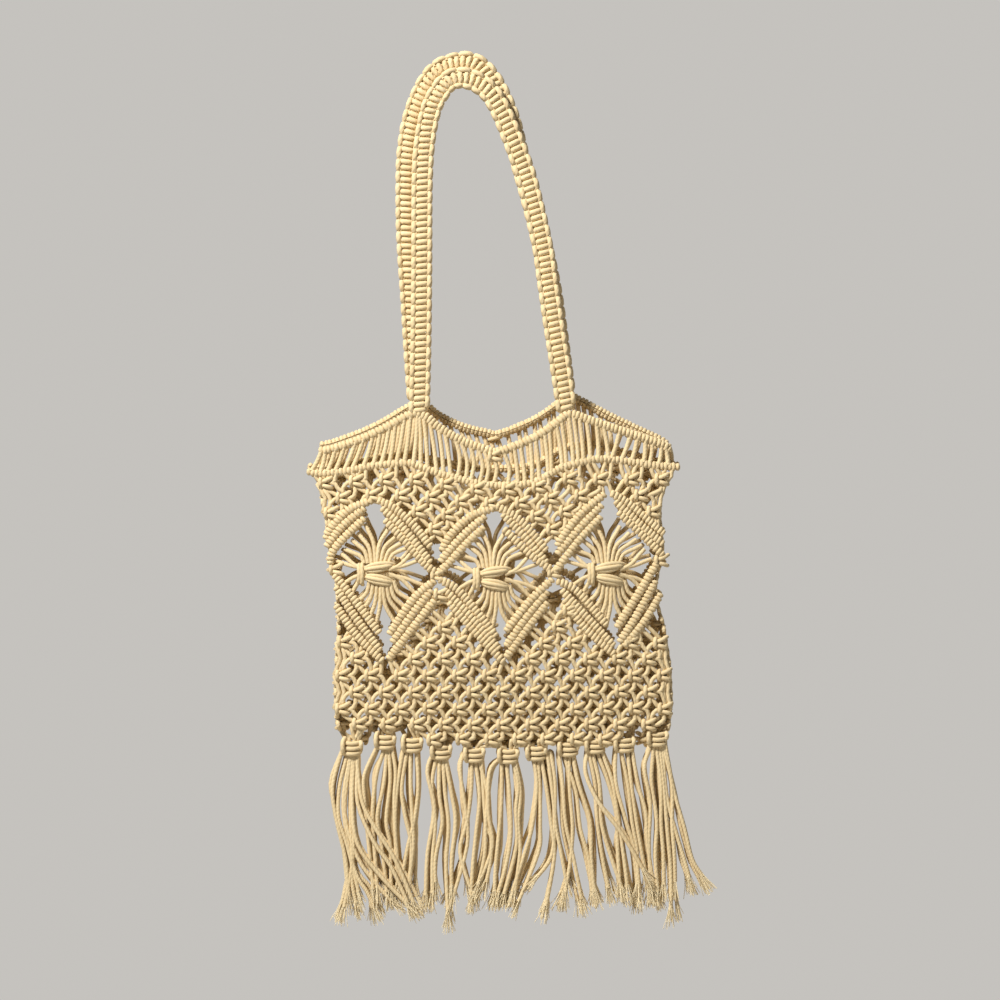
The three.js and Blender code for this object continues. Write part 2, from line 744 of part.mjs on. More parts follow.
// One tassel: a wrapped gathering knot with its strands in three locks.
function tassel(row) {
  const head = new THREE.Vector3(
    BAG_OFFSET + row.across * HALF_WIDTH,
    0,
    -YOKE_DOWN - row.down * NET_DROP,
  );
  const profile = TASSEL_PROFILE.map((point) => new THREE.Vector2(point.radius, point.height));
  const knot = new THREE.LatheGeometry(profile, 8);
  knot.rotateX(-Math.PI / 2);
  knot.scale(TASSEL_WIDTH, TASSEL_DEPTH, TASSEL_HEIGHT);
  knot.translate(head.x, head.y, head.z);
  let solid = solidOf(knot);
  const spacing = (TASSEL_WIDTH - LOCK_WIDTH) / 2 - CLEARANCE;
  row.ends.forEach(([across, fall], lock) => {
    const offset = (lock - 1) * spacing;
    const over = row.over === lock;
    const forward = over ? -TASSEL_DEPTH / 2 - LOCK_WIDTH / 2 - OVER_LOCK_GAP : 0;
    const start = head.clone().add(new THREE.Vector3(offset, 0, 0));
    const end = new THREE.Vector3(
      BAG_OFFSET + across * HALF_WIDTH,
      forward,
      head.z - fall * FRINGE_LENGTH,
    );
    const knee = start.clone().lerp(end, LOCK_KNEE.fall);
    const spread = (lock - 1) * LOCK_KNEE.spread;
    knee.x = THREE.MathUtils.lerp(start.x + spread, end.x, LOCK_KNEE.across);
    knee.y = forward * LOCK_KNEE.forward;
    const low = start.clone().lerp(end, LOCK_LOW.fall);
    low.x = THREE.MathUtils.lerp(start.x, end.x, LOCK_LOW.across);
    low.y = forward;
    const depth = over ? OVER_LOCK_DEPTH : LOCK_DEPTH;
    solid = solid.add(sweep([start, knee, low, end], LOCK_WIDTH, depth, 4, 3));
  });
  return solid;
}

const bag = new THREE.Group();
bag.name = 'macrame_bag';

function addPiece(name, solid, color) {
  const material = new THREE.MeshStandardMaterial({ color, roughness: 0.9, metalness: 0 });
  const mesh = new THREE.Mesh(geometryOf(solid), material);
  mesh.name = name;
  bag.add(mesh);
}

for (const [side, place, color] of [[FRONT, 'front', COTTON], [BACK, 'back', COTTON_BACK]]) {
  const face = new THREE.Color(color);
  addPiece(`${place}_neck_ridge`, neckRidge(side, 0), face);
  addPiece(`${place}_yoke`, yoke(side), face);
  addPiece(`${place}_net`, net(side), face);
  for (const diamond of DIAMONDS) {
    addPiece(`${place}_star_${diamond.name}`, star(side, diamond), face);
  }
}
addPiece('front_handle', handle(FRONT, FRONT_LOOP, FRONT_LOOP_SPREAD, 0), COTTON);
addPiece('back_handle', handle(BACK, BACK_LOOP, BACK_LOOP_SPREAD, BACK_LOOP_RISE), COTTON_BACK);
TASSELS.forEach((row, place) => {
  addPiece(`tassel_${String(place + 1).padStart(2, '0')}`, tassel(row), COTTON);
});

export default bag;
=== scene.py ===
import math
import random

import bpy
import numpy as np
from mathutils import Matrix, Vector
from mathutils.geometry import interpolate_bezier


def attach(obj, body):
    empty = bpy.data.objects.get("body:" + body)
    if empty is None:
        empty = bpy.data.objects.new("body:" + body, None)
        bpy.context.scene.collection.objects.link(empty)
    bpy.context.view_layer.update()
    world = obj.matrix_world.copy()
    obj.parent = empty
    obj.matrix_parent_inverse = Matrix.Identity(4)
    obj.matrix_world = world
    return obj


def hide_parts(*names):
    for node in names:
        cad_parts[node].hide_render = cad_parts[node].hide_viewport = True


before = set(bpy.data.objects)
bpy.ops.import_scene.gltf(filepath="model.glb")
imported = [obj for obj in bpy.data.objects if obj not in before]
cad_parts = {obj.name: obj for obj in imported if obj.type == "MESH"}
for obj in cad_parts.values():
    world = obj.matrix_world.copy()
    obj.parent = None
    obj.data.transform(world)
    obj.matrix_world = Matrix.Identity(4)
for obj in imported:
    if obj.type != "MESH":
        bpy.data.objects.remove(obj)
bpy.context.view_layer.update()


# Cotton cord, 3.5 mm, drawn up to 4.7 mm thick where it is pressed flat: many combed strands
# laid together with hardly any twist, undyed and knotted by hand. Each cord is a tube along its
# route, and its UVs run along and round it in metres, so that the fibres follow every bend.
MM = 0.001
SIDES_OF_CORD = 6
COTTON_LIGHT = "#E4D0A6"
COTTON_DEEP = "#C8AC7C"
FIBRE_PALE = "#ECDBB4"
FIBRE_ACROSS = 0.35
FIBRE_ALONG = 5.0
TONE_LENGTH = 30.0
PLY_PITCH = 4.2
PLY_LEAN = math.radians(32)
FIBRE_RELIEF = 0.25
FUZZ = 0.04
UV_START_STEP = 0.137
STEPS_TO_MEASURE = 8
END_TAPER = 3


def linear(hex_colour):
    """An sRGB hex colour as linear red, green, blue and 1."""
    parts = [int(hex_colour[place:place + 2], 16) / 255 for place in (1, 3, 5)]
    return [*(((part + 0.055) / 1.055) ** 2.4 if part > 0.04045 else part / 12.92
              for part in parts), 1.0]


def add_node(material, kind, inputs=(), **settings):
    """A shader node with its settings, and its inputs set to values or linked to sockets."""
    node = material.node_tree.nodes.new(kind)
    for name, value in settings.items():
        setattr(node, name, value)
    for name, value in dict(inputs).items():
        if isinstance(value, bpy.types.NodeSocket):
            material.node_tree.links.new(value, node.inputs[name])
        else:
            node.inputs[name].default_value = value
    return node


def cotton(name, light, deep, fuzz):
    """Combed cotton cord: matt and soft, with a pale bloom at its edges, fine fibres along it,
    a shallow lay of plies round it, and slow changes of tone from cord to cord."""
    material = bpy.data.materials.new(name)
    material.use_nodes = True
    material.node_tree.nodes.clear()
    along = add_node(material, "ShaderNodeTexCoord").outputs["UV"]
    fibre_place = add_node(material, "ShaderNodeMapping", {
        "Vector": along,
        "Scale": (1000 / FIBRE_ALONG, 1000 / FIBRE_ACROSS, 1),
    }).outputs["Vector"]
    fibres = add_node(material, "ShaderNodeTexNoise", {
        "Vector": fibre_place, "Scale": 1.0, "Detail": 3.0, "Roughness": 0.6}).outputs["Fac"]
    tone_place = add_node(material, "ShaderNodeMapping", {
        "Vector": along, "Scale": (1000 / TONE_LENGTH, 1000 / TONE_LENGTH, 1)}).outputs["Vector"]
    tone = add_node(material, "ShaderNodeTexNoise", {
        "Vector": tone_place, "Scale": 1.0, "Detail": 2.0}).outputs["Fac"]
    lay_place = add_node(material, "ShaderNodeMapping", {
        "Vector": along,
        "Rotation": (0, 0, PLY_LEAN),
        "Scale": (1000 / PLY_PITCH, 1000 / PLY_PITCH, 1),
    }).outputs["Vector"]
    lay = add_node(material, "ShaderNodeTexWave", {
        "Vector": lay_place, "Scale": 0.5, "Distortion": 1.2, "Detail": 1.0}).outputs["Fac"]
    slow = add_node(material, "ShaderNodeMix", {
        0: tone, 6: linear(deep), 7: linear(light)}, data_type="RGBA").outputs[2]
    streak = add_node(material, "ShaderNodeMapRange", {
        "Value": fibres, "From Min": 0.3, "From Max": 0.75, "To Min": 0.0, "To Max": 0.35})
    colour = add_node(material, "ShaderNodeMix", {
        0: streak.outputs[0], 6: slow, 7: linear(light)}, data_type="RGBA").outputs[2]
    relief = add_node(material, "ShaderNodeMath", {0: fibres, 1: lay}, operation="ADD")
    bump = add_node(material, "ShaderNodeBump", {
        "Height": relief.outputs[0], "Strength": 0.5, "Distance": FIBRE_RELIEF * MM})
    surface = add_node(material, "ShaderNodeBsdfPrincipled", {
        "Base Color": colour,
        "Roughness": 0.9,
        "Specular IOR Level": 0.1,
        "Sheen Weight": fuzz,
        "Sheen Roughness": 0.5,
        "Normal": bump.outputs["Normal"],
    })
    add_node(material, "ShaderNodeOutputMaterial", {"Surface": surface.outputs[0]})
    return material


cotton_cord = cotton("combed_cotton_cord", COTTON_LIGHT, COTTON_DEEP, FUZZ)


def eased(points, steps):
    """A soft line through the given points, with steps points from one to the next."""
    line = [points[0]]
    for place in range(len(points) - 1):
        before = points[max(place - 1, 0)]
        start, end = points[place], points[place + 1]
        after = points[min(place + 2, len(points) - 1)]
        line += interpolate_bezier(
            start, start + (end - before) / 6, end - (after - start) / 6, end, steps + 1)[1:]
    return line


def evenly(points, spacing):
    """Points at even distances along a soft line through the given ones."""
    line = np.array(eased(points, STEPS_TO_MEASURE))
    walked = np.concatenate([[0], np.cumsum(np.linalg.norm(np.diff(line, axis=0), axis=1))])
    count = max(2, round(walked[-1] / (spacing * MM)) + 1)
    stops = np.linspace(0, walked[-1], count)
    return [Vector(np.interp(stop, walked, line[:, axis]) for axis in range(3)) for stop in stops]


def cord_piece(name, routes, thickness, replaced=(), material=cotton_cord, sides=SIDES_OF_CORD,
               ends=1.0):
    """One mesh of round cords of that thickness, a cord along each route, riding the bag; a
    cord's ends can be thinner than its middle."""
    curve = bpy.data.curves.new(name, "CURVE")
    curve.dimensions = "3D"
    curve.twist_mode = "MINIMUM"
    curve.bevel_depth = thickness * MM / 2
    curve.bevel_resolution = sides // 2 - 2
    curve.use_fill_caps = True
    for route in routes:
        spline = curve.splines.new("POLY")
        spline.points.add(len(route) - 1)
        spline.points.foreach_set("co", [value for point in route for value in (*point, 1)])
        if ends != 1:
            reach = np.abs(np.linspace(-1, 1, len(route))) ** END_TAPER
            spline.points.foreach_set("radius", 1 - (1 - ends) * reach)
    holder = bpy.data.objects.new(name + "_curve", curve)
    bpy.context.scene.collection.objects.link(holder)
    shapes = bpy.context.evaluated_depsgraph_get()
    mesh = bpy.data.meshes.new_from_object(holder.evaluated_get(shapes))
    bpy.data.objects.remove(holder)
    places = np.empty(2 * len(mesh.loops))
    mesh.uv_layers[0].data.foreach_get("uv", places)
    places = places.reshape(-1, 2)
    places[:, 1] *= math.pi * thickness * MM
    first = len(routes) * 2 * (sides - 2) * 3
    for number, route in enumerate(routes):
        last = first + (len(route) - 1) * sides * 4
        length = sum((after - point).length for point, after in zip(route, route[1:]))
        places[first:last, 0] = places[first:last, 0] * length + UV_START_STEP * number
        first = last
    mesh.uv_layers[0].data.foreach_set("uv", places.ravel())
    mesh.shade_smooth()
    mesh.materials.clear()
    mesh.materials.append(material)
    piece = bpy.data.objects.new(name, mesh)
    bpy.context.scene.collection.objects.link(piece)
    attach(piece, "root")
    if replaced:
        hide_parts(*replaced)
    return piece


# The two faces: nets of knotted cord that hang almost flat, joined at their sides and along
# the hem, with a little room between them. Every piece of a face is charted once in the
# front view; a place on the back face is the same chart, lifted where that face hangs higher.
BAG_WIDTH = 306
BAG_OFFSET = 27
YOKE_DOWN = 319
NET_DROP = 226
BELLY = 26
BELLY_FULLNESS = 0.7
BACK_LIFT = 15
SEAM = 4.15
HALF_WIDTH = BAG_WIDTH / 2
FACES = {"front": -1, "back": 1}

# down as a share of the net's drop; left and right as shares of the half width
SIDE_EDGES = [
    (-0.08, 0.945, 0.955), (0.00, 1.000, 1.000), (0.05, 0.955, 0.950), (0.12, 0.945, 0.920),
    (0.21, 0.915, 0.925), (0.30, 0.905, 0.940), (0.36, 0.875, 0.915), (0.45, 0.865, 0.890),
    (0.56, 0.855, 0.940), (0.71, 0.870, 0.975), (0.85, 0.875, 0.985), (0.94, 0.860, 0.970),
    (1.00, 0.830, 0.960),
]
BELLY_DOWN = [(-0.25, 0.55), (0, 0.70), (0.35, 1.00), (0.70, 0.80), (0.95, 0.12), (1.05, 0.02)]
LIFT_ACROSS = [(-1, 0.30), (-0.5, 0.45), (0, 1.00), (0.45, 1.00), (0.65, 0.60), (1, 0.10)]


def from_table(rows, place, column=1):
    """The value of a column at a place along the first one."""
    return float(np.interp(place, [row[0] for row in rows], [row[column] for row in rows]))


def side_edges(z):
    """Where the left and the right edge of a face are at a height."""
    down = (-YOKE_DOWN - z) / NET_DROP
    return (BAG_OFFSET - HALF_WIDTH * from_table(SIDE_EDGES, down, 1),
            BAG_OFFSET + HALF_WIDTH * from_table(SIDE_EDGES, down, 2))


def on_face(side, x, z, out=0.0):
    """A place of the chart on a face, out millimetres in front of the middle of its cords."""
    down = (-YOKE_DOWN - z) / NET_DROP
    left, right = side_edges(z)
    inward = min(max((x - left) / (right - left), 0), 1)
    bulge = math.sin(math.pi * inward) ** BELLY_FULLNESS
    belly = BELLY / 2 * from_table(BELLY_DOWN, down) * bulge
    if side == FACES["back"]:
        lift = BACK_LIFT * from_table(LIFT_ACROSS, (x - BAG_OFFSET) / HALF_WIDTH)
        z += lift * min(max(1 - down, 0), 1)
    return Vector((x, side * (SEAM + belly + out), z)) * MM


# Neck ridges: along the rim, a holding cord under half hitches packed side by side,
# about 8 mm thick. They rise to the feet of the handles and dip between them.
NECK_WIDTH = 8.4
NECK_HOLDING_CORD = 4.8
HITCH_CORD = 3.9
HITCH_PITCH = 3.4
NECK_LINE = [
    (-116, -301.6), (-108, -300.5), (-84, -292.5), (-64, -283.5), (-44, -272.5), (-36, -270.7),
    (-28, -274), (-18, -282.5), (2, -294), (22, -301), (29, -303), (42, -299), (62.5, -290),
    (79, -279), (86, -273), (91, -270.7), (102, -274.5), (122.5, -281.5), (142, -288),
    (166, -296), (172.5, -300.5),
]

# the hitches vary a little, as a hand pulls them: how far they lean and how wide they are
HITCH_LEAN = 0.10
LEAN_VARIES = 0.05
HITCH_SIZES = (0.96, 1.05)
END_HITCH_SIZE = 0.78
HITCH_PAIRING = 0.12
HITCH_FLATNESS = 0.65
STOPS_IN_HITCH = 10
HOLDING_CORD_STEP = 3
hitch_hand = random.Random(3)


def hitched_ridge(points, outwards, width, depth, cord):
    """Half hitches over a holding cord, one after another: each a ring round the line, leaning
    a little, whose ends meet on the inner side."""
    line = evenly(points, HITCH_PITCH)
    hitches = []
    for place, point in enumerate(line):
        ahead = (line[min(place + 1, len(line) - 1)] - line[max(place - 1, 0)]).normalized()
        across = ahead.cross(outwards).normalized()
        out = across.cross(ahead)
        if out.dot(outwards) < 0:
            out = -out
        at_end = place in (0, len(line) - 1)
        size = (END_HITCH_SIZE if at_end else 1) * hitch_hand.uniform(*HITCH_SIZES)
        point = point + ahead * (HITCH_PAIRING if place % 2 else -HITCH_PAIRING) * MM
        lean = HITCH_LEAN + hitch_hand.uniform(-LEAN_VARIES, LEAN_VARIES)
        hitch = []
        for stop in range(STOPS_IN_HITCH + 1):
            turn = 2 * math.pi * stop / STOPS_IN_HITCH - math.pi / 2
            bulge = math.copysign(abs(math.cos(turn)) ** HITCH_FLATNESS, math.cos(turn))
            sideways = bulge * (width - cord) / 2 * size
            hitch.append(point + (across * sideways + ahead * lean * sideways
                         + out * math.sin(turn) * (depth - cord) / 2 * size) * MM)
        hitches.append(hitch)
    return hitches


for face, side in FACES.items():
    outwards = Vector((0, side, 0))
    rim = [on_face(side, x, z) for x, z in NECK_LINE]
    cord_piece(f"{face}_neck_hitches",
               hitched_ridge(rim, outwards, NECK_WIDTH, NECK_WIDTH, HITCH_CORD),
               HITCH_CORD, [f"{face}_neck_ridge"])
    cord_piece(f"{face}_neck_holding_cord", [evenly(rim, HOLDING_CORD_STEP)],
               NECK_HOLDING_CORD)


# Yokes: single bare cords run down from the neck ridge to a second, thinner hitched ridge,
# from which the net is knotted. Some cords lean, as the ridge pulls them.
YOKE_WIDTH = 7.6
YOKE_HOLDING_CORD = 4.0
YOKE_LINE = [
    (-126, -319), (-117, -320.5), (-98, -319), (-71, -314), (-44, -312), (-32, -315.5),
    (-18, -320.5), (-5, -324), (15, -329), (35, -330.5), (56, -329), (69, -324), (82, -316.5),
    (96, -312), (116, -308.5), (142, -311), (162, -314), (180, -315),
]
LADDER_CORDS = [
    (-116, -124), (-112.5, -116.7), (-104.2, -110.8), (-96.7, -104.2), (-87.5, -96.7),
    (-80.8, -90), (-72.5, -80.8), (-66.7, -72.5), (-59.2, -65.8), (-54.2, -59.2), (-46.7, -53.3),
    (-41.7, -46.7), (-35.8, -39.2), (-34.2, -33.3), (-30.8, -27.5), (-25.8, -20),
    (-18.3, -14.2), (-13.3, -8.3), (-5, -2.5), (0, 4.2), (7.5, 8.3), (14.2, 15.8),
    (19.2, 20.8), (25.8, 27.5), (35, 39.2), (44.2, 47.5), (49.2, 53.3), (57.5, 59.2),
    (61.7, 65), (69.2, 72.5), (73.3, 75), (79.2, 84.2), (83.3, 87.5), (89.2, 93.3),
    (93.3, 97.5), (98.3, 101.7), (104.2, 107.5), (112.5, 114.2), (118.3, 122.5),
    (131.7, 125), (140.8, 133.3), (146.7, 141.7), (153.3, 151.7), (159.2, 156.7), (166.7, 164.2),
    (170.5, 172),
]
LADDER_CORD = 3.9
BOWED_FROM, BOWED_TO, LADDER_BOW = -6, 36, 3.2
LADDER_SLIGHT_BOW = 0.6
LADDER_TUCK = 1
LADDER_END_OUT = 1.5
LADDER_MIDDLE_OUT = 0.6
# the cords of the back face stand in the gaps between those of the front one
BACK_LADDER_SHIFT = 3.8

for face, side in FACES.items():
    outwards = Vector((0, side, 0))
    ridge = [on_face(side, x, z) for x, z in YOKE_LINE]
    ladder = []
    shift = BACK_LADDER_SHIFT if face == "back" else 0
    for head, foot in [(head + shift, foot + shift) for head, foot in LADDER_CORDS]:
        bow = LADDER_BOW if BOWED_FROM < head < BOWED_TO else LADDER_SLIGHT_BOW
        top = from_table(NECK_LINE, head) - LADDER_TUCK
        bottom = from_table(YOKE_LINE, foot) + LADDER_TUCK
        ladder.append(eased([
            on_face(side, head, top, LADDER_END_OUT),
            on_face(side, (head + foot) / 2 + bow, (top + bottom) / 2, LADDER_MIDDLE_OUT),
            on_face(side, foot, bottom, LADDER_END_OUT),
        ], 4))
    cord_piece(f"{face}_yoke_hitches",
               hitched_ridge(ridge, outwards, YOKE_WIDTH, YOKE_WIDTH, HITCH_CORD),
               HITCH_CORD, [f"{face}_yoke"])
    cord_piece(f"{face}_yoke_holding_cord", [evenly(ridge, HOLDING_CORD_STEP)],
               YOKE_HOLDING_CORD)
    cord_piece(f"{face}_ladder_cords", ladder, LADDER_CORD)


# Leaf bars: four to each diamond, each of three hitched ridges knotted close together, which
# stand proud of the net and rim an open window. Their ends make the window's upright slits.
LEAF_WIDTH = 7.9
LEAF_DEPTH = 6.4
LEAF_OUT = 2.0
LEAF_CORD = 3.6
LEAF_HOLDING_CORD = 3.8
LEAF_HOLDING_STEP = 4

# a diamond's four leaves, each from its outermost ridge or its innermost one as it was knotted
DIAMONDS = {
    "left": {
        "upper_left": [
            [(-75, -343.3), (-92.9, -350.8), (-107.5, -365.5), (-111.7, -373.3)],
            [(-80.8, -350), (-98.3, -364.2), (-110.8, -380)],
            [(-80.8, -358.7), (-96.2, -373.3), (-106.7, -385.8), (-108.3, -394.2)]],
        "upper_right": [
            [(-67.5, -343.3), (-54.2, -350), (-37.1, -365.5), (-25.8, -380)],
            [(-64.2, -350), (-47.5, -365.8), (-25.8, -393.3)],
            [(-61.7, -360), (-45, -377.5), (-29.2, -395.8), (-22.5, -400.8)]],
        "lower_left": [
            [(-104.2, -405.8), (-89.6, -423.3), (-68.3, -451.6)],
            [(-102.9, -415.8), (-89.6, -436.6), (-67.5, -466.6)],
            [(-102.9, -431.2), (-88.3, -452.5), (-65.8, -475)]],
        "lower_right": [
            [(-22.5, -410), (-39.2, -424.6), (-58.3, -452.5)],
            [(-25, -417.9), (-39.2, -435.8), (-55.8, -459.1)],
            [(-22.5, -426.6), (-38.3, -446.6), (-59.2, -473.3)]],
    },
    "middle": {
        "upper_left": [
            [(25.8, -349.7), (8.3, -356.2), (-7.5, -370.4), (-15, -383.3)],
            [(19.2, -356.7), (5, -369.2), (-10.8, -385.8), (-15.8, -392.5)],
            [(18.3, -365.8), (5, -378.3), (-10, -394.7), (-19.2, -403.7)]],
        "upper_right": [
            [(30.6, -348.3), (46.7, -357.5), (60.8, -371.7), (70, -383.3)],
            [(35.8, -355), (55, -375.4), (70, -393.3)],
            [(36.7, -367.5), (57.9, -387.5), (75.8, -400.8)]],
        "lower_left": [
            [(-16.7, -408.7), (-2.5, -416.7), (17.5, -440), (28.3, -454.1)],
            [(-10.8, -419.1), (10.4, -440.8), (30.8, -465)],
            [(-8.7, -428), (11.7, -451.2), (34.7, -475.4)]],
        "lower_right": [
            [(75, -408.7), (56.7, -426.6), (38.3, -450)],
            [(70.8, -419.1), (53.8, -440), (38.3, -462.5)],
            [(70.8, -428), (53.8, -450), (38.3, -471.6)]],
    },
    "right": {
        "upper_left": [
            [(118.3, -338.3), (100, -353.3), (84.6, -372.5), (80.8, -379.2)],
            [(115.8, -347.5), (97.5, -366.7), (80.8, -386.3)],
            [(115, -357.1), (97.5, -375.8), (82.5, -395.8), (78.3, -401.7)]],
        "upper_right": [
            [(125.8, -337.5), (141.7, -347.5), (167.5, -370)],
            [(129.2, -344.2), (147.5, -361.7), (166.7, -378.3)],
            [(131.7, -353.3), (150, -370.8), (166.7, -387.5)]],
        "lower_left": [
            [(80.8, -410), (96.2, -417.9), (120, -445)],
            [(84.6, -417.9), (100.8, -435.8), (125.8, -462.5)],
            [(86.7, -425.8), (102.1, -447.5), (125.8, -469.1)]],
        "lower_right": [
            [(161.7, -396.7), (147.5, -420), (130, -447.1)],
            [(160.8, -410.8), (147.5, -435.5), (132.5, -459.1)],
            [(165, -421.6), (152.5, -442.5), (135.8, -462.5)]],
    },
}

for face, side in FACES.items():
    outwards = Vector((0, side, 0))
    hitches, holding = [], []
    for leaves in DIAMONDS.values():
        for leaf in leaves.values():
            for ridge in leaf:
                points = [on_face(side, x, z, LEAF_OUT) for x, z in ridge]
                hitches += hitched_ridge(points, outwards, LEAF_WIDTH, LEAF_DEPTH, LEAF_CORD)
                holding.append(evenly(points, LEAF_HOLDING_STEP))
    cord_piece(f"{face}_leaf_hitches", hitches, LEAF_CORD, [f"{face}_net"])
    cord_piece(f"{face}_leaf_holding_cords", holding, LEAF_HOLDING_CORD)


# The net: square knots in staggered rows. At each knot two cords wrap two others: on the left
# one wrap stands upright over the knot, and to its right the wraps lie across it as two lobes.
# Two cords leave it for each of its four neighbours.
NET_CORD = 3.8
FIRST_COLUMN, LAST_COLUMN = -7, 15
EDGE_COLUMNS = (-7.6, 15.7)
ROW_HEIGHTS = [
    -327.5, -340.4, -353.3, -366.7, -379.5, -393, -407, -420.5, -434,
    -447.5, -460.8, -474, -488, -501.5, -515.8, -529, -541.5,
]
ROWS_AFTER_RIDGE = 4
DIP_MEASURED_FROM = -98
DIP_FOLLOWED = 0.55
DEEPEST_DIP = 4
KNOT_ROOM = 2.6
KNOT_SHIFT = 0.5
WRAP_ENDS = 0.6
LOOSE_ACROSS = (9.5, 5.5)
LOOSE_RISE = (7.5, 10.5)
LOOSE_REACH = 11
LOOSE_END_OUT = 0.8

# the knots that gather the cords along the hem, and the room that the net leaves round them
TASSEL_HEADS = [
    (-91, -547.5), (-63.4, -542.5), (-40.9, -545), (-16.8, -550.9), (10.8, -553.4),
    (39.1, -554.3), (62.5, -551.8), (89.1, -548.4), (111.6, -545.9), (135.8, -545), (163.3, -540),
]
HEAD_ROOM = 7.6

# how the last row's cords reach those knots: how far away, how far apart, and how they sink in
HEM_REACH = 17
HEM_LEAN = 6
HEM_SPOTS = (5.5, 2.5)
HEM_ENDS = ((3, 6), (2, 0))

# a knot's wraps: places right, up and out from its middle, in millimetres
WRAPS = [
    [(-2.2, -4.6, -1.2), (-3.2, -3.4, 1.8), (-3.5, 0, 3.6), (-3.2, 3.4, 1.8), (-2.2, 4.6, -1.2)],
    [(-3.0, 0.7, 0.6), (-0.4, 1.5, 2.6), (3.2, 3.0, 3.4), (6.2, 4.7, 1.6), (7.4, 5.2, -1.0)],
    [(-3.0, -1.2, 0.6), (-0.4, -2.1, 2.6), (3.2, -2.9, 3.2), (5.8, -3.8, 1.6), (7.0, -4.0, -1.0)],
    [(-4.6, 0.6, 0.2), (-2.4, 0.4, -2.6), (2.4, -0.4, -2.6), (4.6, -0.6, 0.2)],
]

# the two cords of a link from a knot down to its right or left neighbour: how each leaves the
# upper knot, and how it comes to the lower one
LINKS = {
    1: [([(3.6, 0.2, 0.6), (5.8, 0.2, 1.4), (9.2, -0.8, 1.8), (11.4, -4.4, 1.6)],
         [(1.0, 4.8, 1.2), (0.6, 1.6, -0.6)]),
        ([(1.2, -1.6, -0.8), (2.2, -5.4, 0.6)], [(-5.6, 3.0, 0.8), (-3.2, 0.6, -0.4)])],
    -1: [([(-0.4, -1.6, -0.8), (-0.2, -5.4, 0.8), (0.3, -8.8, 1.6)],
          [(9.8, 0.9, 1.8), (6.2, 0.0, 1.4), (3.6, -0.2, 0.6)]),
         ([(-2.6, -0.3, -0.4), (-6.0, -1.2, 0.8), (-9.6, -5.0, 1.6), (-10.2, -8.6, 1.4)],
          [(1.8, 3.8, 0.6), (1.4, 0.8, -0.6)])],
}

# how cords leave a knot whose neighbour there is the yoke, a leaf bar or a tassel
LOOSE_UP = {
    1: [[(3.6, 0.2, 0.6), (6.2, 0.6, 1.4), (9.0, 2.6, 1.4)], [(1.4, 1.6, -0.6), (2.2, 4.8, 0.6)]],
    -1: [[(0.6, 1.6, -0.6), (0.0, 4.8, 0.8)], [(-3.2, 0.6, -0.4), (-5.6, 3.0, 0.8)]],
}
# how far right of their knots the two cords pass that run down an edge from knot to knot
EDGE_BOWS = {1: (3.8, 0.0), -1: (2.6, -1.4)}
EDGE_BOW_OUT = 0.8


def row_height(row, x):
    """Where a row is at x: the first rows follow the dips of the yoke's ridge."""
    dip = from_table(YOKE_LINE, x) - from_table(YOKE_LINE, DIP_MEASURED_FROM)
    follow = max(0, 1 - row / ROWS_AFTER_RIDGE)
    return ROW_HEIGHTS[row] + DIP_FOLLOWED * min(dip, DEEPEST_DIP) * follow


def knot_place(row, column):
    """The chart place of a knot; columns spread evenly from edge to edge of the face."""
    left, right = side_edges(ROW_HEIGHTS[row])
    share = (column - EDGE_COLUMNS[0]) / (EDGE_COLUMNS[1] - EDGE_COLUMNS[0])
    x = left + share * (right - left)
    return Vector((x, row_height(row, x)))


def rim_of(leaves):
    """The outline of a diamond, through the ends and the outermost ridges of its leaves."""
    upper_left, upper_right = leaves["upper_left"], leaves["upper_right"]
    lower_left, lower_right = leaves["lower_left"], leaves["lower_right"]
    return [Vector(point) for point in (
        *upper_left[0], upper_left[2][-1], lower_left[0][0], lower_left[2][0],
        *lower_left[2][1:], *reversed(lower_right[2]), lower_right[0][0],
        upper_right[2][-1], *reversed(upper_right[0]))]


def inside(place, rim):
    """Whether a chart place lies in an outline."""
    crossed = False
    for start, end in zip(rim, rim[1:] + rim[:1]):
        if (start.y > place.y) != (end.y > place.y):
            if place.x < start.x + (place.y - start.y) / (end.y - start.y) * (end.x - start.x):
                crossed = not crossed
    return crossed


def nearest_on(lines, place):
    """The point of some lines that is nearest to a chart place."""
    nearest = None
    for line in lines:
        for start, end in zip(line, line[1:]):
            run = end - start
            if run.length == 0:
                continue
            along = min(max((place - start).dot(run) / run.length_squared, 0), 1)
            point = start + run * along
            if nearest is None or (point - place).length < (nearest - place).length:
                nearest = point
    return nearest


rims = [rim_of(leaves) for leaves in DIAMONDS.values()]


def knots_of(parity):
    """The knots of a face by row and column: those of the back stand between the front's."""
    knots = {}
    for row in range(len(ROW_HEIGHTS)):
        for column in range(FIRST_COLUMN, LAST_COLUMN + 1):
            place = knot_place(row, column)
            room = (nearest_on([rim + rim[:1] for rim in rims], place) - place).length
            clear = room > KNOT_ROOM and not any(inside(place, rim) for rim in rims)
            clear = clear and all((place - Vector(head)).length > HEAD_ROOM
                                  for head in TASSEL_HEADS)
            if (row + column) % 2 == parity and clear:
                knots[row, column] = place
    return knots


# the lines at which cords end where they have no knot to go to: outer ridges and the yoke
RESTS = [[Vector(point) for point in YOKE_LINE]] + [
    [Vector(point) for point in leaf[0 if "upper" in name else 2]]
    for leaves in DIAMONDS.values() for name, leaf in leaves.items()]


def knot_route(side, place, points):
    """A cord at a knot: its places right, up and out from the middle, as seen from outside."""
    return [on_face(side, place.x - side * right, place.y + up, out) for right, up, out in points]


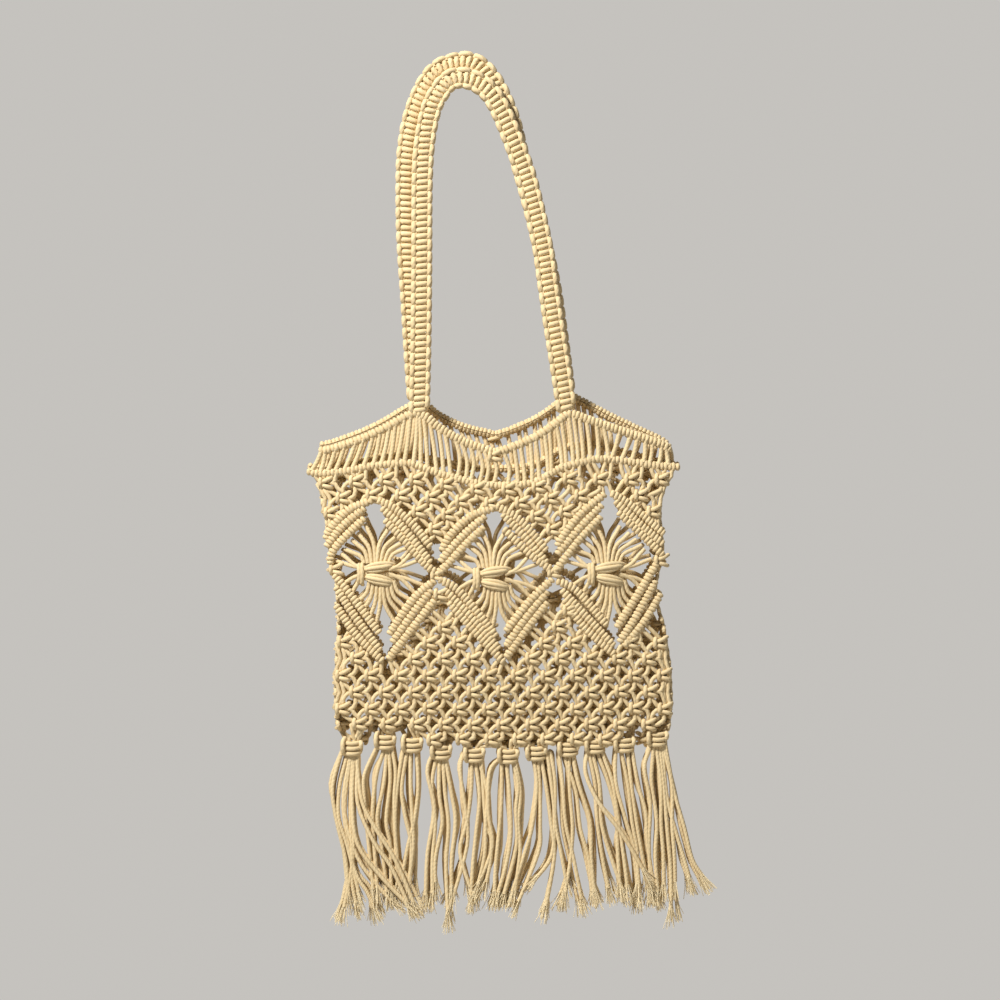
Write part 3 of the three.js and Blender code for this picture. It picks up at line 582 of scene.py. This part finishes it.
def loose_ends(side, place, turn, up, starts, hand):
    """Two cords that leave a knot, up or down, for the nearest leaf bar or the yoke."""
    ends = []
    for number, start in enumerate(starts):
        spot = number if hand > 0 else 1 - number
        aim = place + Vector((turn * LOOSE_ACROSS[spot], up * LOOSE_RISE[spot]))
        rest = nearest_on(RESTS, aim)
        if (rest - aim).length < LOOSE_REACH:
            route = knot_route(side, place, start) + [on_face(side, *rest, LOOSE_END_OUT)]
            ends.append(eased(route, 2))
    return ends


# single knots where the diamonds' corners meet, and one in the dip of the rim
JOINING_KNOTS = [(-104.5, -400), (-20, -405), (76.7, -402.5), (165.5, -393), (27.5, -306)]

net_hand = random.Random(7)
last_row = len(ROW_HEIGHTS) - 1
for face, side in FACES.items():
    knots = knots_of(parity=1 if face == "front" else 0)
    wraps, legs = [], []
    for place in knots.values():
        place += Vector((net_hand.uniform(-KNOT_SHIFT, KNOT_SHIFT),
                         net_hand.uniform(-KNOT_SHIFT, KNOT_SHIFT)))
    for (row, column), place in knots.items():
        for wrap in WRAPS:
            wraps.append(eased(knot_route(side, place, wrap), 2))
        for turn in (-1, 1):
            hand = -side * turn
            below = knots.get((row + 1, column + turn))
            edge_knot = knots.get((row + 2, column))
            at_edge = not FIRST_COLUMN <= column + turn <= LAST_COLUMN
            if below is None and not (at_edge and edge_knot) and row < last_row - 1:
                starts = [leaving[:2] for leaving, coming in LINKS[hand]]
                legs += loose_ends(side, place, turn, -1, starts, hand)
            if knots.get((row - 1, column + turn)) is None and not (at_edge and row > 1):
                legs += loose_ends(side, place, turn, 1, LOOSE_UP[hand], hand)
            for number, (leaving, coming) in enumerate(LINKS[hand]):
                route = knot_route(side, place, leaving)
                if below is not None:
                    route += knot_route(side, below, coming)
                elif at_edge and edge_knot is not None:
                    middle = (place + edge_knot) / 2
                    upside_down = [(right, -up, out) for right, up, out in leaving[:2]]
                    bow = EDGE_BOWS[hand][number]
                    route = route[:2] + knot_route(side, middle, [(bow, 0, EDGE_BOW_OUT)])
                    route += knot_route(side, edge_knot, upside_down)[::-1]
                elif row >= last_row - 1:
                    head = min(TASSEL_HEADS, key=lambda one: abs(
                        one[0] - place.x - turn * HEM_LEAN))
                    if abs(head[0] - place.x) > HEM_REACH:
                        continue
                    across = head[0] + math.copysign(HEM_SPOTS[number], place.x - head[0])
                    route = route[:2] + [Vector((across, side * out, head[1] + up)) * MM
                                         for out, up in HEM_ENDS]
                else:
                    continue
                legs.append(eased(route, 2))
    for x, z in JOINING_KNOTS:
        wraps += [eased(knot_route(side, Vector((x, z)), wrap), 2) for wrap in WRAPS]
    cord_piece(f"{face}_net_wraps", wraps, NET_CORD, ends=WRAP_ENDS)
    cord_piece(f"{face}_net_cords", legs, NET_CORD)


# Side lacing: down each side of the bag one cotton cord runs to and fro between the edges of
# the two nets and closes the bag. It lies just inside their outermost knots.
LACING_CORD = 3.8
LACING_PITCH = 4.4
LACING_INWARD = 2.6
LACING_OUT = 0.6
LACING_FROM = 4
LACING_TO = 6

lacings = []
for edge, inward in ((0, LACING_INWARD), (1, -LACING_INWARD)):
    stitches = []
    for stitch in range(int((NET_DROP - LACING_FROM - LACING_TO) / LACING_PITCH)):
        z = -YOKE_DOWN - LACING_FROM - stitch * LACING_PITCH
        facing = FACES["front"] if stitch % 2 else FACES["back"]
        stitches.append(Vector((
            side_edges(z)[edge] + inward, facing * (SEAM + LACING_OUT), z)) * MM)
    lacings.append(eased(stitches, 2))
cord_piece("side_lacing", lacings, LACING_CORD)


# Star knots: in each window the loose cords of its rim are gathered into one large square
# knot of doubled cord, and fan out again from it to the rim on every side.
STAR_CORD = 3.9
STAR_STRAND = 3.7
STAND_UNDER = 6.0
STAR_OUT = 2.6

# where the fanned cords leave the knot, and the share of their way, right and up, at which
# they bend
SIDE_ROOT = 9
SIDE_ROOT_STEP = 1.5
UPRIGHT_ROOT = 7
UPRIGHT_ROOT_FIRST = 0.5
UPRIGHT_ROOT_STEP = 3.2
UPRIGHT_ROOT_SHIFT = {"up": -1.5, "down": 3}
SIDE_BEND = (0.55, 0.35)
UPRIGHT_BEND = (0.28, 0.62)
# how far out they lie at the rim and past it, and how much deeper each one lies than the last
ROOT_SINKS = 0.4
BEND_LOWER = 1.0
BEND_SINKS = 0.3
RIM_OUT = 0.2
PAST_RIM_OUT = -1.2

# where the fanned cords meet the rim: right and up from the knot's middle
STAR_FANS = [
    ("up", -1, [(-8.3, 34.2), (-13.3, 27.5), (-17.5, 22.5), (-22.5, 16.2)]),
    ("up", 1, [(6.7, 32.5), (13.3, 27.8), (18.3, 23.3), (22.5, 19.2)]),
    ("side", -1, [(-26.2, 11.2), (-30.8, 7.5), (-27.5, -9.2), (-20.8, -15.8)]),
    ("side", 1, [(26.3, 14.2), (30.4, 8.3), (28.8, -15.8), (32.5, -9.2)]),
    ("down", -1, [(-0.8, -40), (-5.8, -35), (-10.8, -29.2), (-15, -23.3)]),
    ("down", 1, [(12.2, -39.2), (17.2, -33.3), (20.8, -28.3), (25.3, -22.5)]),
]
STARS = {
    "left": {"middle": (-68.5, -402), "wide": 1.0},
    "middle": {"middle": (27.5, -405.8), "wide": 1.0},
    "right": {"middle": (122.5, -402), "wide": 0.98},
}

# the knot itself: places of its wraps, right, up and out
STAR_WRAPS = [
    [(-12.2, 7.0, -2.0), (-13.4, 5.6, 2.4), (-13.0, -2, 4.4), (-13.4, -9.4, 2.4),
     (-12.4, -11, -2.0)],
    [(-15.2, 6.4, -2.0), (-16.2, 4.6, 1.8), (-15.4, -2, 3.6), (-16.0, -8.4, 1.8),
     (-15.2, -10, -2.0)],
    [(-11, 3.2, 1.5), (-5, 5.6, 4.0), (2, 6.9, 4.4), (9, 7.0, 3.0), (14, 6.0, 0.2)],
    [(-11, 1.6, 2.6), (-5, 3.0, 5.0), (2, 3.9, 5.2), (8.5, 4.9, 3.8), (12.5, 5.6, 0.6)],
    [(-11, 0.6, 1.6), (-5, 0.7, 3.6), (1, 1.2, 4.0), (6, 2.7, 3.0), (10.5, 4.6, 0.0)],
    [(-11, -3.2, 1.6), (-5, -3.0, 3.6), (2, -3.9, 4.0), (8, -5.8, 3.0), (13, -8.2, 0.0)],
    [(-11, -4.2, 2.6), (-5, -5.4, 5.0), (2, -6.7, 5.2), (8, -8.0, 3.8), (13, -8.8, 0.6)],
    [(-11, -5.4, 1.5), (-5, -7.8, 3.8), (2, -9.4, 4.2), (8, -10.2, 3.0), (13, -9.8, 0.2)],
]

for face, side in FACES.items():
    for name, star in STARS.items():
        middle_x, middle_z = star["middle"]
        routes = []
        for way, turn, ends in STAR_FANS:
            for number, (right, up) in enumerate(ends):
                end = (middle_x + right * star["wide"], middle_z + up)
                if way == "side":
                    step = SIDE_ROOT_STEP if up > 0 else -SIDE_ROOT_STEP
                    root = (middle_x + turn * SIDE_ROOT, middle_z + step * (1 + number % 2))
                    bend_shares = SIDE_BEND
                else:
                    beside = turn * (UPRIGHT_ROOT_FIRST + UPRIGHT_ROOT_STEP * number)
                    root = (middle_x + beside + UPRIGHT_ROOT_SHIFT[way],
                            middle_z + (UPRIGHT_ROOT if way == "up" else -UPRIGHT_ROOT))
                    bend_shares = UPRIGHT_BEND
                bend = [from_root + share * (at_rim - from_root)
                        for from_root, at_rim, share in zip(root, end, bend_shares)]
                run = Vector((end[0] - bend[0], end[1] - bend[1])).normalized() * STAND_UNDER
                beyond = (end[0] + run.x, end[1] + run.y)
                routes.append(eased([
                    on_face(side, *root, STAR_OUT - ROOT_SINKS * number),
                    on_face(side, *bend, STAR_OUT - BEND_LOWER - BEND_SINKS * number),
                    on_face(side, *end, RIM_OUT),
                    on_face(side, *beyond, PAST_RIM_OUT),
                ], 5))
        wraps = [eased([
            on_face(side, middle_x - side * right, middle_z + up, out)
            for right, up, out in wrap], 4) for wrap in STAR_WRAPS]
        cord_piece(f"{face}_star_strands_{name}", routes, STAR_STRAND)
        cord_piece(f"{face}_star_knot_{name}", wraps, STAR_CORD, [f"{face}_star_{name}"],
                   ends=WRAP_ENDS)


# Handles: flat bands of square knots round two filling cords. Wraps lie across the band one
# after another on both of its faces, and down each edge the wrapping cord stands as a chain
# of upright loops, those of one edge half a loop behind those of the other.
BAND_WIDTH = 17.5
BAND_THICK = 7.6
BAND_CLEARANCE = 0.3
NECK_RISE = 48.3
WRAP_PITCH = 5.0
BAND_CORD = 4.7
BAND_CORES = (-2.2, 2.2)
BAND_WRAP_ENDS = 0.75
HALF_WRAPS_IN_LOOP = 4
LOOP_END_ROOM = 2
BACK_LOOP_HIGHER = 14.5
# the handles part between these shares of the way down to their feet
PARTING_FROM, PARTING_TO = 0.25, 0.97

# a wrap across the band and a loop at its edge: along in half wraps, across, out
BAND_WRAP = [
    (-0.25, -5.2, -0.4), (-0.15, -3.4, 1.7), (0, 0, 2.3), (0.15, 3.4, 1.7), (0.25, 5.2, -0.4)]
EDGE_LOOP = [
    (-1.95, 3.4, -1.6), (-1.65, 5.8, 0.4), (-1.2, 6.5, 1.7), (0, 6.7, 2.2), (1.2, 6.5, 1.7),
    (1.65, 5.8, 0.4), (1.95, 3.4, -1.6)]
HANDLES = {
    "front": [
        (-34.5, 1.0), (-33.2, 0.80), (-32.5, 0.56), (-32.2, 0.32), (-30.1, 0.19), (-25, 0.095),
        (-18.3, 0.045), (-9.8, 0.009), (0.9, 0), (13.4, 0.013), (24.4, 0.045), (32.7, 0.095),
        (38.8, 0.145), (46.4, 0.215), (55, 0.305), (66.9, 0.485), (72, 0.61), (78.1, 0.76),
        (84.2, 0.9), (88.1, 1.0)],
    "back": [
        (-36.3, 1.0), (-38.8, 0.88), (-42.1, 0.69), (-45.5, 0.50), (-45.8, 0.32), (-44, 0.235),
        (-40.3, 0.165), (-34.5, 0.105), (-26.9, 0.055), (-16.3, 0.018), (0.9, 0), (13.8, 0.01),
        (23.8, 0.045), (31.9, 0.095), (40.9, 0.175), (49.3, 0.295), (61.6, 0.455), (74, 0.655),
        (80.6, 0.81), (87.5, 1.0)],
}
LOOP_TOP = {"front": BAND_WIDTH / 2, "back": BAND_WIDTH / 2 + BACK_LOOP_HIGHER}


def smooth_share(value, low, high):
    """0 below low, 1 above high, and a soft step between them."""
    share = min(max((value - low) / (high - low), 0), 1)
    return share * share * (3 - 2 * share)


for face, side in FACES.items():
    feet = [on_face(side, HANDLES[face][end][0], -YOKE_DOWN + NECK_RISE) / MM for end in (0, -1)]
    points = []
    for x, fall in HANDLES[face]:
        foot = feet[0] if x < BAG_OFFSET else feet[1]
        z = LOOP_TOP[face] + (foot.z - LOOP_TOP[face]) * fall
        reach = smooth_share(z / foot.z, PARTING_FROM, PARTING_TO)
        flat_y = side * (BAND_THICK / 2 + BAND_CLEARANCE)
        points.append(Vector((x, flat_y + (foot.y - flat_y) * reach, z)) * MM)
    line = evenly(points, WRAP_PITCH / 2)
    outwards = Vector((0, side, 0))

    def on_band(stop, across, out):
        """A place on the band: stop counts half wraps along it."""
        low = min(max(int(math.floor(stop)), 0), len(line) - 2)
        at = line[low].lerp(line[low + 1], stop - low)
        ahead = (line[low + 1] - line[low]).normalized()
        beside = ahead.cross(outwards).normalized()
        return at + beside * across * MM + beside.cross(ahead) * out * MM

    wraps = []
    for stop in range(1, len(line) - 1, 2):
        for facing in (1, -1):
            wraps.append(eased([on_band(stop + along, across, facing * out)
                                for along, across, out in BAND_WRAP], 2))
    for edge, delay in ((-1, 0), (1, HALF_WRAPS_IN_LOOP // 2)):
        for stop in range(LOOP_END_ROOM + delay, len(line) - LOOP_END_ROOM, HALF_WRAPS_IN_LOOP):
            for facing in (1, -1):
                wraps.append(eased([on_band(stop + along, edge * across, facing * out)
                                    for along, across, out in EDGE_LOOP], 1))
    cores = [[on_band(stop, across, 0) for stop in range(0, len(line) - 1, 2)]
             for across in BAND_CORES]
    cord_piece(f"{face}_handle_cores", cores, BAND_CORD)
    cord_piece(f"{face}_handle_wraps", wraps, BAND_CORD, [f"{face}_handle"],
               ends=BAND_WRAP_ENDS)


# Tassels: along the hem the cords of both faces are gathered by a wrapped knot and hang as
# a fringe. Each cord was cut by hand and its end has opened into a tuft of fibres.
FRINGE_CORD = 3.5
HEAD_CORD = 4.0
HEAD_WIDTH = 18.5
HEAD_DEPTH = 14.5
HEAD_HEIGHT = 12.5
HEAD_SAG = 2.0
# how wide each wrap of a head is, from the top one down
HEAD_WAISTS = (0.97, 1.03, 0.97)
STOPS_IN_WRAP = 18
# the loops that stand over a head's wraps at their left and right: across, up and out
HEAD_LOOPS = [
    [(-5.6, 6.8, 1.5), (-7.0, 4.4, 5.6), (-7.3, 0, 7.0), (-6.9, -4.4, 5.6), (-5.4, -6.6, 1.5)],
    [(6.2, 5.0, 1.0), (7.7, 3.4, 3.8), (8.1, 1.6, 4.6), (7.6, -0.4, 3.8), (6.0, -1.8, 1.0)],
]
FIBRE_THICK = 0.5
FIBRES_IN_TUFT = 20
TUFT_LENGTH = 15
TUFT_LENGTHS = (0.6, 1.1)
TUFT_SPREADS = (0.4, 3.6)
TUFT_TUCK = 2
FIBRE_ROOM = 0.9
FIBRE_MIDDLE_SPREAD = 0.35
FIBRE_MIDDLE_DOWN = 0.4
# hanging cords, by tassel: five places down each, the first at the head and the last at its end
FRINGE = [
    (1, [(-99, -552), (-107, -581), (-104, -609), (-96, -640), (-93, -672)]),
    (1, [(-95, -556), (-101, -580), (-102, -606), (-95, -630), (-86, -668)]),
    (1, [(-87, -556), (-82, -592), (-72, -613), (-54, -641), (-39, -676)]),
    (1, [(-86, -559), (-86, -594), (-73, -626), (-58, -647), (-44, -676)]),
    (1, [(-89, -559), (-90, -594), (-86, -628), (-66, -655), (-45, -677)]),
    (1, [(-92, -559), (-96, -602), (-87, -639), (-71, -662), (-58, -676)]),
    (1, [(-93, -559), (-98, -598), (-88, -649), (-78, -668), (-72, -681)]),
    (1, [(-90, -559), (-92, -598), (-90, -630), (-90, -660), (-88, -677)]),
    (1, [(-90, -556), (-91, -585), (-89, -617), (-90, -647), (-97, -681)]),
    (2, [(-70, -548), (-80, -571), (-80, -589), (-77, -619), (-73, -666)]),
    (2, [(-65, -553), (-71, -571), (-74, -600), (-73, -624), (-69, -665)]),
    (2, [(-62, -553), (-65, -580), (-69, -606), (-66, -630), (-62, -668)]),
    (2, [(-60, -553), (-59, -577), (-62, -609), (-59, -630), (-58, -665)]),
    (2, [(-57, -552), (-55, -569), (-55, -594), (-54, -630), (-49, -666)]),
    (3, [(-48, -550), (-52, -577), (-55, -603), (-54, -628), (-52, -662)]),
    (3, [(-45, -553), (-49, -582), (-47, -606), (-41, -630), (-42, -665)]),
    (3, [(-42, -552), (-42, -582), (-40, -606), (-39, -630), (-44, -662)]),
    (3, [(-37, -552), (-36, -582), (-38, -609), (-44, -630), (-49, -656)]),
    (4, [(-23, -553), (-28, -569), (-22, -600), (-27, -635), (-29, -671)]),
    (4, [(-20, -555), (-24, -579), (-21, -609), (-23, -640), (-24, -669)]),
    (4, [(-18, -558), (-18, -587), (-15, -611), (-21, -640), (-21, -660)]),
    (4, [(-15, -556), (-14, -585), (-11, -613), (-13, -646), (-10, -687)]),
    (4, [(-13, -558), (-9, -584), (-4, -609), (-7, -640), (-8, -663)]),
    (5, [(2, -555), (-1, -568), (4, -603), (6, -630), (-6, -671)]),
    (5, [(9, -560), (8, -583), (5, -609), (0, -635), (7, -664)]),
    (5, [(12, -560), (15, -589), (13, -615), (10, -643), (9, -671)]),
    (5, [(15, -560), (21, -585), (21, -611), (20, -638), (14, -664)]),
    (5, [(17, -559), (20, -609), (25, -624), (24, -644), (21, -660)]),
    (6, [(32, -558), (24, -569), (22, -602), (26, -630), (16, -657)]),
    (6, [(34, -561), (33, -594), (31, -630), (29, -649), (28, -668)]),
    (6, [(38, -561), (40, -589), (41, -621), (37, -646), (31, -669)]),
    (6, [(43, -560), (47, -579), (45, -600), (46, -630), (36, -670)]),
    (6, [(45, -560), (49, -585), (48, -609), (49, -635), (45, -667)]),
    (7, [(60, -555), (63, -579), (59, -613), (53, -638), (43, -668)]),
    (7, [(64, -558), (66, -583), (66, -613), (64, -635), (48, -676)]),
    (7, [(67, -559), (72, -583), (75, -611), (77, -638), (70, -680)]),
    (7, [(72, -555), (76, -579), (78, -606), (76, -638), (64, -656)]),
    (7, [(75, -555), (78, -579), (78, -609), (82, -633), (87, -660)]),
    (8, [(82, -555), (84, -579), (87, -611), (93, -638), (100, -674)]),
    (8, [(90, -555), (91, -585), (93, -613), (92, -638), (87, -668)]),
    (8, [(93, -555), (98, -579), (107, -609), (109, -638), (111, -666)]),
    (8, [(87, -559), (95, -585), (99, -615), (105, -638), (112, -668)]),
    (9, [(110, -554), (115, -579), (117, -611), (125, -638), (134, -666)]),
    (9, [(114, -554), (122, -575), (130, -604), (131, -630), (132, -661)]),
    (9, [(118, -554), (126, -575), (129, -598), (136, -638), (139, -664)]),
    (9, [(107, -555), (111, -579), (114, -609), (117, -638), (123, -665)]),
    (9, [(105, -553), (104, -570), (115, -594), (134, -619), (152, -650)]),
    (10, [(129, -550), (129, -577), (136, -606), (145, -638), (148, -671)]),
    (10, [(134, -554), (139, -581), (142, -609), (146, -634), (147, -662)]),
    (10, [(139, -554), (142, -579), (146, -609), (151, -636), (157, -665)]),
    (10, [(143, -554), (148, -579), (153, -602), (156, -630), (161, -668)]),
    (11, [(157, -550), (153, -566), (157, -594), (156, -628), (158, -665)]),
    (11, [(160, -553), (159, -577), (163, -609), (162, -638), (164, -668)]),
    (11, [(163, -550), (166, -579), (167, -611), (168, -636), (168, -662)]),
    (11, [(166, -552), (168, -579), (172, -619), (174, -651), (175, -683)]),
    (11, [(169, -550), (176, -579), (176, -611), (177, -638), (178, -660)]),
    (11, [(168, -551), (171, -589), (179, -619), (185, -640), (190, -656)]),
    (11, [(171, -551), (178, -585), (186, -615), (193, -641), (201, -655)]),
]
# cords that cross others hang further out; the made-up ones behind them vary more
CROSSING_FROM = 34
CROSSING_OUT = 8.5
LAYER_OUT = 4.6
LAYERS_BEHIND = (4.6, 9.0)
ROOT_OUT = 2.0
OUT_RATE = 2.2
BACK_AT_HEAD = 0.75
SHIFT_AT_HEAD = 0.5
SHIFT_BEHIND = 3.2
SHORTER_BEHIND = (-4, 10)
FRONT_SWING = 0.8
BACK_SWING = 2
GATHERED = 0.8

fringe_seed = random.Random(11)
open_fibres = cotton("opened_cotton_fibres", FIBRE_PALE, COTTON_LIGHT, FUZZ)


def tuft(end, ahead):
    """The opened fibres at the end of a hanging cord."""
    fibres = []
    beside = ahead.cross(Vector((0, 1, 0))).normalized()
    behind = ahead.cross(beside)
    for number in range(FIBRES_IN_TUFT):
        turn = 2 * math.pi * fringe_seed.random()
        radius = FRINGE_CORD / 2 * math.sqrt(fringe_seed.random()) * FIBRE_ROOM
        spread = fringe_seed.uniform(*TUFT_SPREADS) * radius
        length = TUFT_LENGTH * fringe_seed.uniform(*TUFT_LENGTHS)
        ring = beside * math.cos(turn) + behind * math.sin(turn)
        fibres.append(eased([
            end + ring * radius * MM - ahead * TUFT_TUCK * MM,
            end + ring * (radius + FIBRE_MIDDLE_SPREAD * spread) * MM
            + ahead * length * FIBRE_MIDDLE_DOWN * MM,
            end + ring * (radius + spread) * MM + ahead * length * MM,
        ], 1))
    return fibres


for number, (head_x, head_z) in enumerate(TASSEL_HEADS, start=1):
    routes, fibres, heads = [], [], []
    for wrap, waist in enumerate(HEAD_WAISTS):
        height = (head_z + HEAD_HEIGHT / 2 - HEAD_CORD / 2
                  - wrap * (HEAD_HEIGHT - HEAD_CORD) / (len(HEAD_WAISTS) - 1))
        ring = []
        for stop in range(STOPS_IN_WRAP + 1):
            turn = 2 * math.pi * stop / STOPS_IN_WRAP + math.pi / 2
            ring.append(Vector((
                head_x + math.cos(turn) * (HEAD_WIDTH - HEAD_CORD) / 2 * waist,
                math.sin(turn) * (HEAD_DEPTH - HEAD_CORD) / 2 * waist,
                height + HEAD_SAG * math.sin(turn),
            )) * MM)
        heads.append(ring)
    for facing in (-1, 1):
        heads += [eased([Vector((head_x - facing * across, facing * out, head_z + up)) * MM
                         for across, up, out in loop], 3) for loop in HEAD_LOOPS]
    cord_piece(f"tassel_{number:02d}_knot", heads, HEAD_CORD, [f"tassel_{number:02d}"])
    for tassel, places in FRINGE:
        if tassel != number:
            continue
        crossing = abs(places[-1][0] - places[0][0]) > CROSSING_FROM
        front = CROSSING_OUT if crossing else LAYER_OUT
        for layer, back in enumerate((0, *LAYERS_BEHIND)):
            if crossing and layer == 2:
                continue
            shift = 0 if layer == 0 else fringe_seed.uniform(-SHIFT_BEHIND, SHIFT_BEHIND)
            shorten = 0 if layer == 0 else fringe_seed.uniform(*SHORTER_BEHIND)
            most = FRONT_SWING if layer == 0 else BACK_SWING
            points = []
            for place, (x, z) in enumerate(places):
                down = place / (len(places) - 1)
                swing = fringe_seed.uniform(-most, most)
                out = ROOT_OUT + (front - ROOT_OUT) * min(1, OUT_RATE * down)
                y = -out + back * (BACK_AT_HEAD + (1 - BACK_AT_HEAD) * down)
                sideways = shift * down + swing if place > 0 else shift * SHIFT_AT_HEAD
                points.append(Vector((x + sideways, y, z + shorten * down)) * MM)
            points.insert(0, Vector((
                head_x + (points[0].x / MM - head_x) * GATHERED, points[0].y / MM, head_z)) * MM)
            route = eased(points, 4)
            routes.append(route)
            fibres += tuft(route[-1], (route[-1] - route[-3]).normalized())
    cord_piece(f"tassel_{number:02d}_cords", routes, FRINGE_CORD)
    cord_piece(f"tassel_{number:02d}_frayed_ends", fibres, FIBRE_THICK,
               material=open_fibres, sides=4)


# The room: a pale floor under the hanging bag, a soft lamp above on the left, weaker ones on
# the right and behind, and a camera that looks straight at the front face.
FLOOR_DOWN = -1.30
FLOOR_RADIUS = 1.6
FLOOR_PAINT = "#D9D5CF"
CAMERA_PLACE = (0.0325, -2.2, -0.3425)
FIELD_WIDTH = 0.8333
SENSOR_WIDTH = 36
AIR_COLOUR = "#E4E1DC"
AIR_SEEN = 0.72
AIR_LIGHT = 0.13
# each lamp's place and width in metres, and its power in watts
LAMPS = [
    ("lamp_left", (-1.15, -1.3, 1.3), 0.4, 100),
    ("lamp_right", (1.5, -1.6, -0.1), 1.6, 6),
    ("lamp_behind", (0.9, 1.7, 0.5), 1.4, 26),
]

bpy.ops.mesh.primitive_circle_add(
    vertices=96, radius=FLOOR_RADIUS, fill_type="NGON", location=(0, 0, FLOOR_DOWN))
floor = bpy.context.object
floor.name = "floor"
matt_paint = bpy.data.materials.new("matt_floor_paint")
matt_paint.use_nodes = True
floor_surface = matt_paint.node_tree.nodes["Principled BSDF"]
floor_surface.inputs["Base Color"].default_value = linear(FLOOR_PAINT)
floor_surface.inputs["Roughness"].default_value = 0.9
floor.data.materials.append(matt_paint)

for name, place, size, watts in LAMPS:
    lamp = bpy.data.lights.new(name, "AREA")
    lamp.shape = "DISK"
    lamp.size = size
    lamp.energy = watts
    stand = bpy.data.objects.new(name, lamp)
    stand.location = place
    aim = Vector((CAMERA_PLACE[0], 0, CAMERA_PLACE[2])) - stand.location
    stand.rotation_euler = aim.to_track_quat("-Z", "Y").to_euler()
    bpy.context.scene.collection.objects.link(stand)

air = bpy.data.worlds.new("pale_studio")
air.use_nodes = True
air_nodes = air.node_tree
seen = air_nodes.nodes["Background"]
seen.inputs["Color"].default_value = linear(AIR_COLOUR)
seen.inputs["Strength"].default_value = AIR_SEEN
given = add_node(air, "ShaderNodeBackground", {
    "Color": linear(AIR_COLOUR), "Strength": AIR_LIGHT})
direct = add_node(air, "ShaderNodeLightPath").outputs["Is Camera Ray"]
both = add_node(air, "ShaderNodeMixShader", {
    0: direct, 1: given.outputs[0], 2: seen.outputs[0]})
air_nodes.links.new(both.outputs[0], air_nodes.nodes["World Output"].inputs["Surface"])
bpy.context.scene.world = air
bpy.context.scene.view_settings.view_transform = "Standard"

lens = bpy.data.cameras.new("camera")
lens.sensor_width = SENSOR_WIDTH
lens.lens = SENSOR_WIDTH * -CAMERA_PLACE[1] / FIELD_WIDTH
camera = bpy.data.objects.new("camera", lens)
camera.location = CAMERA_PLACE
camera.rotation_euler = (math.pi / 2, 0, 0)
bpy.context.scene.collection.objects.link(camera)
bpy.context.scene.camera = camera
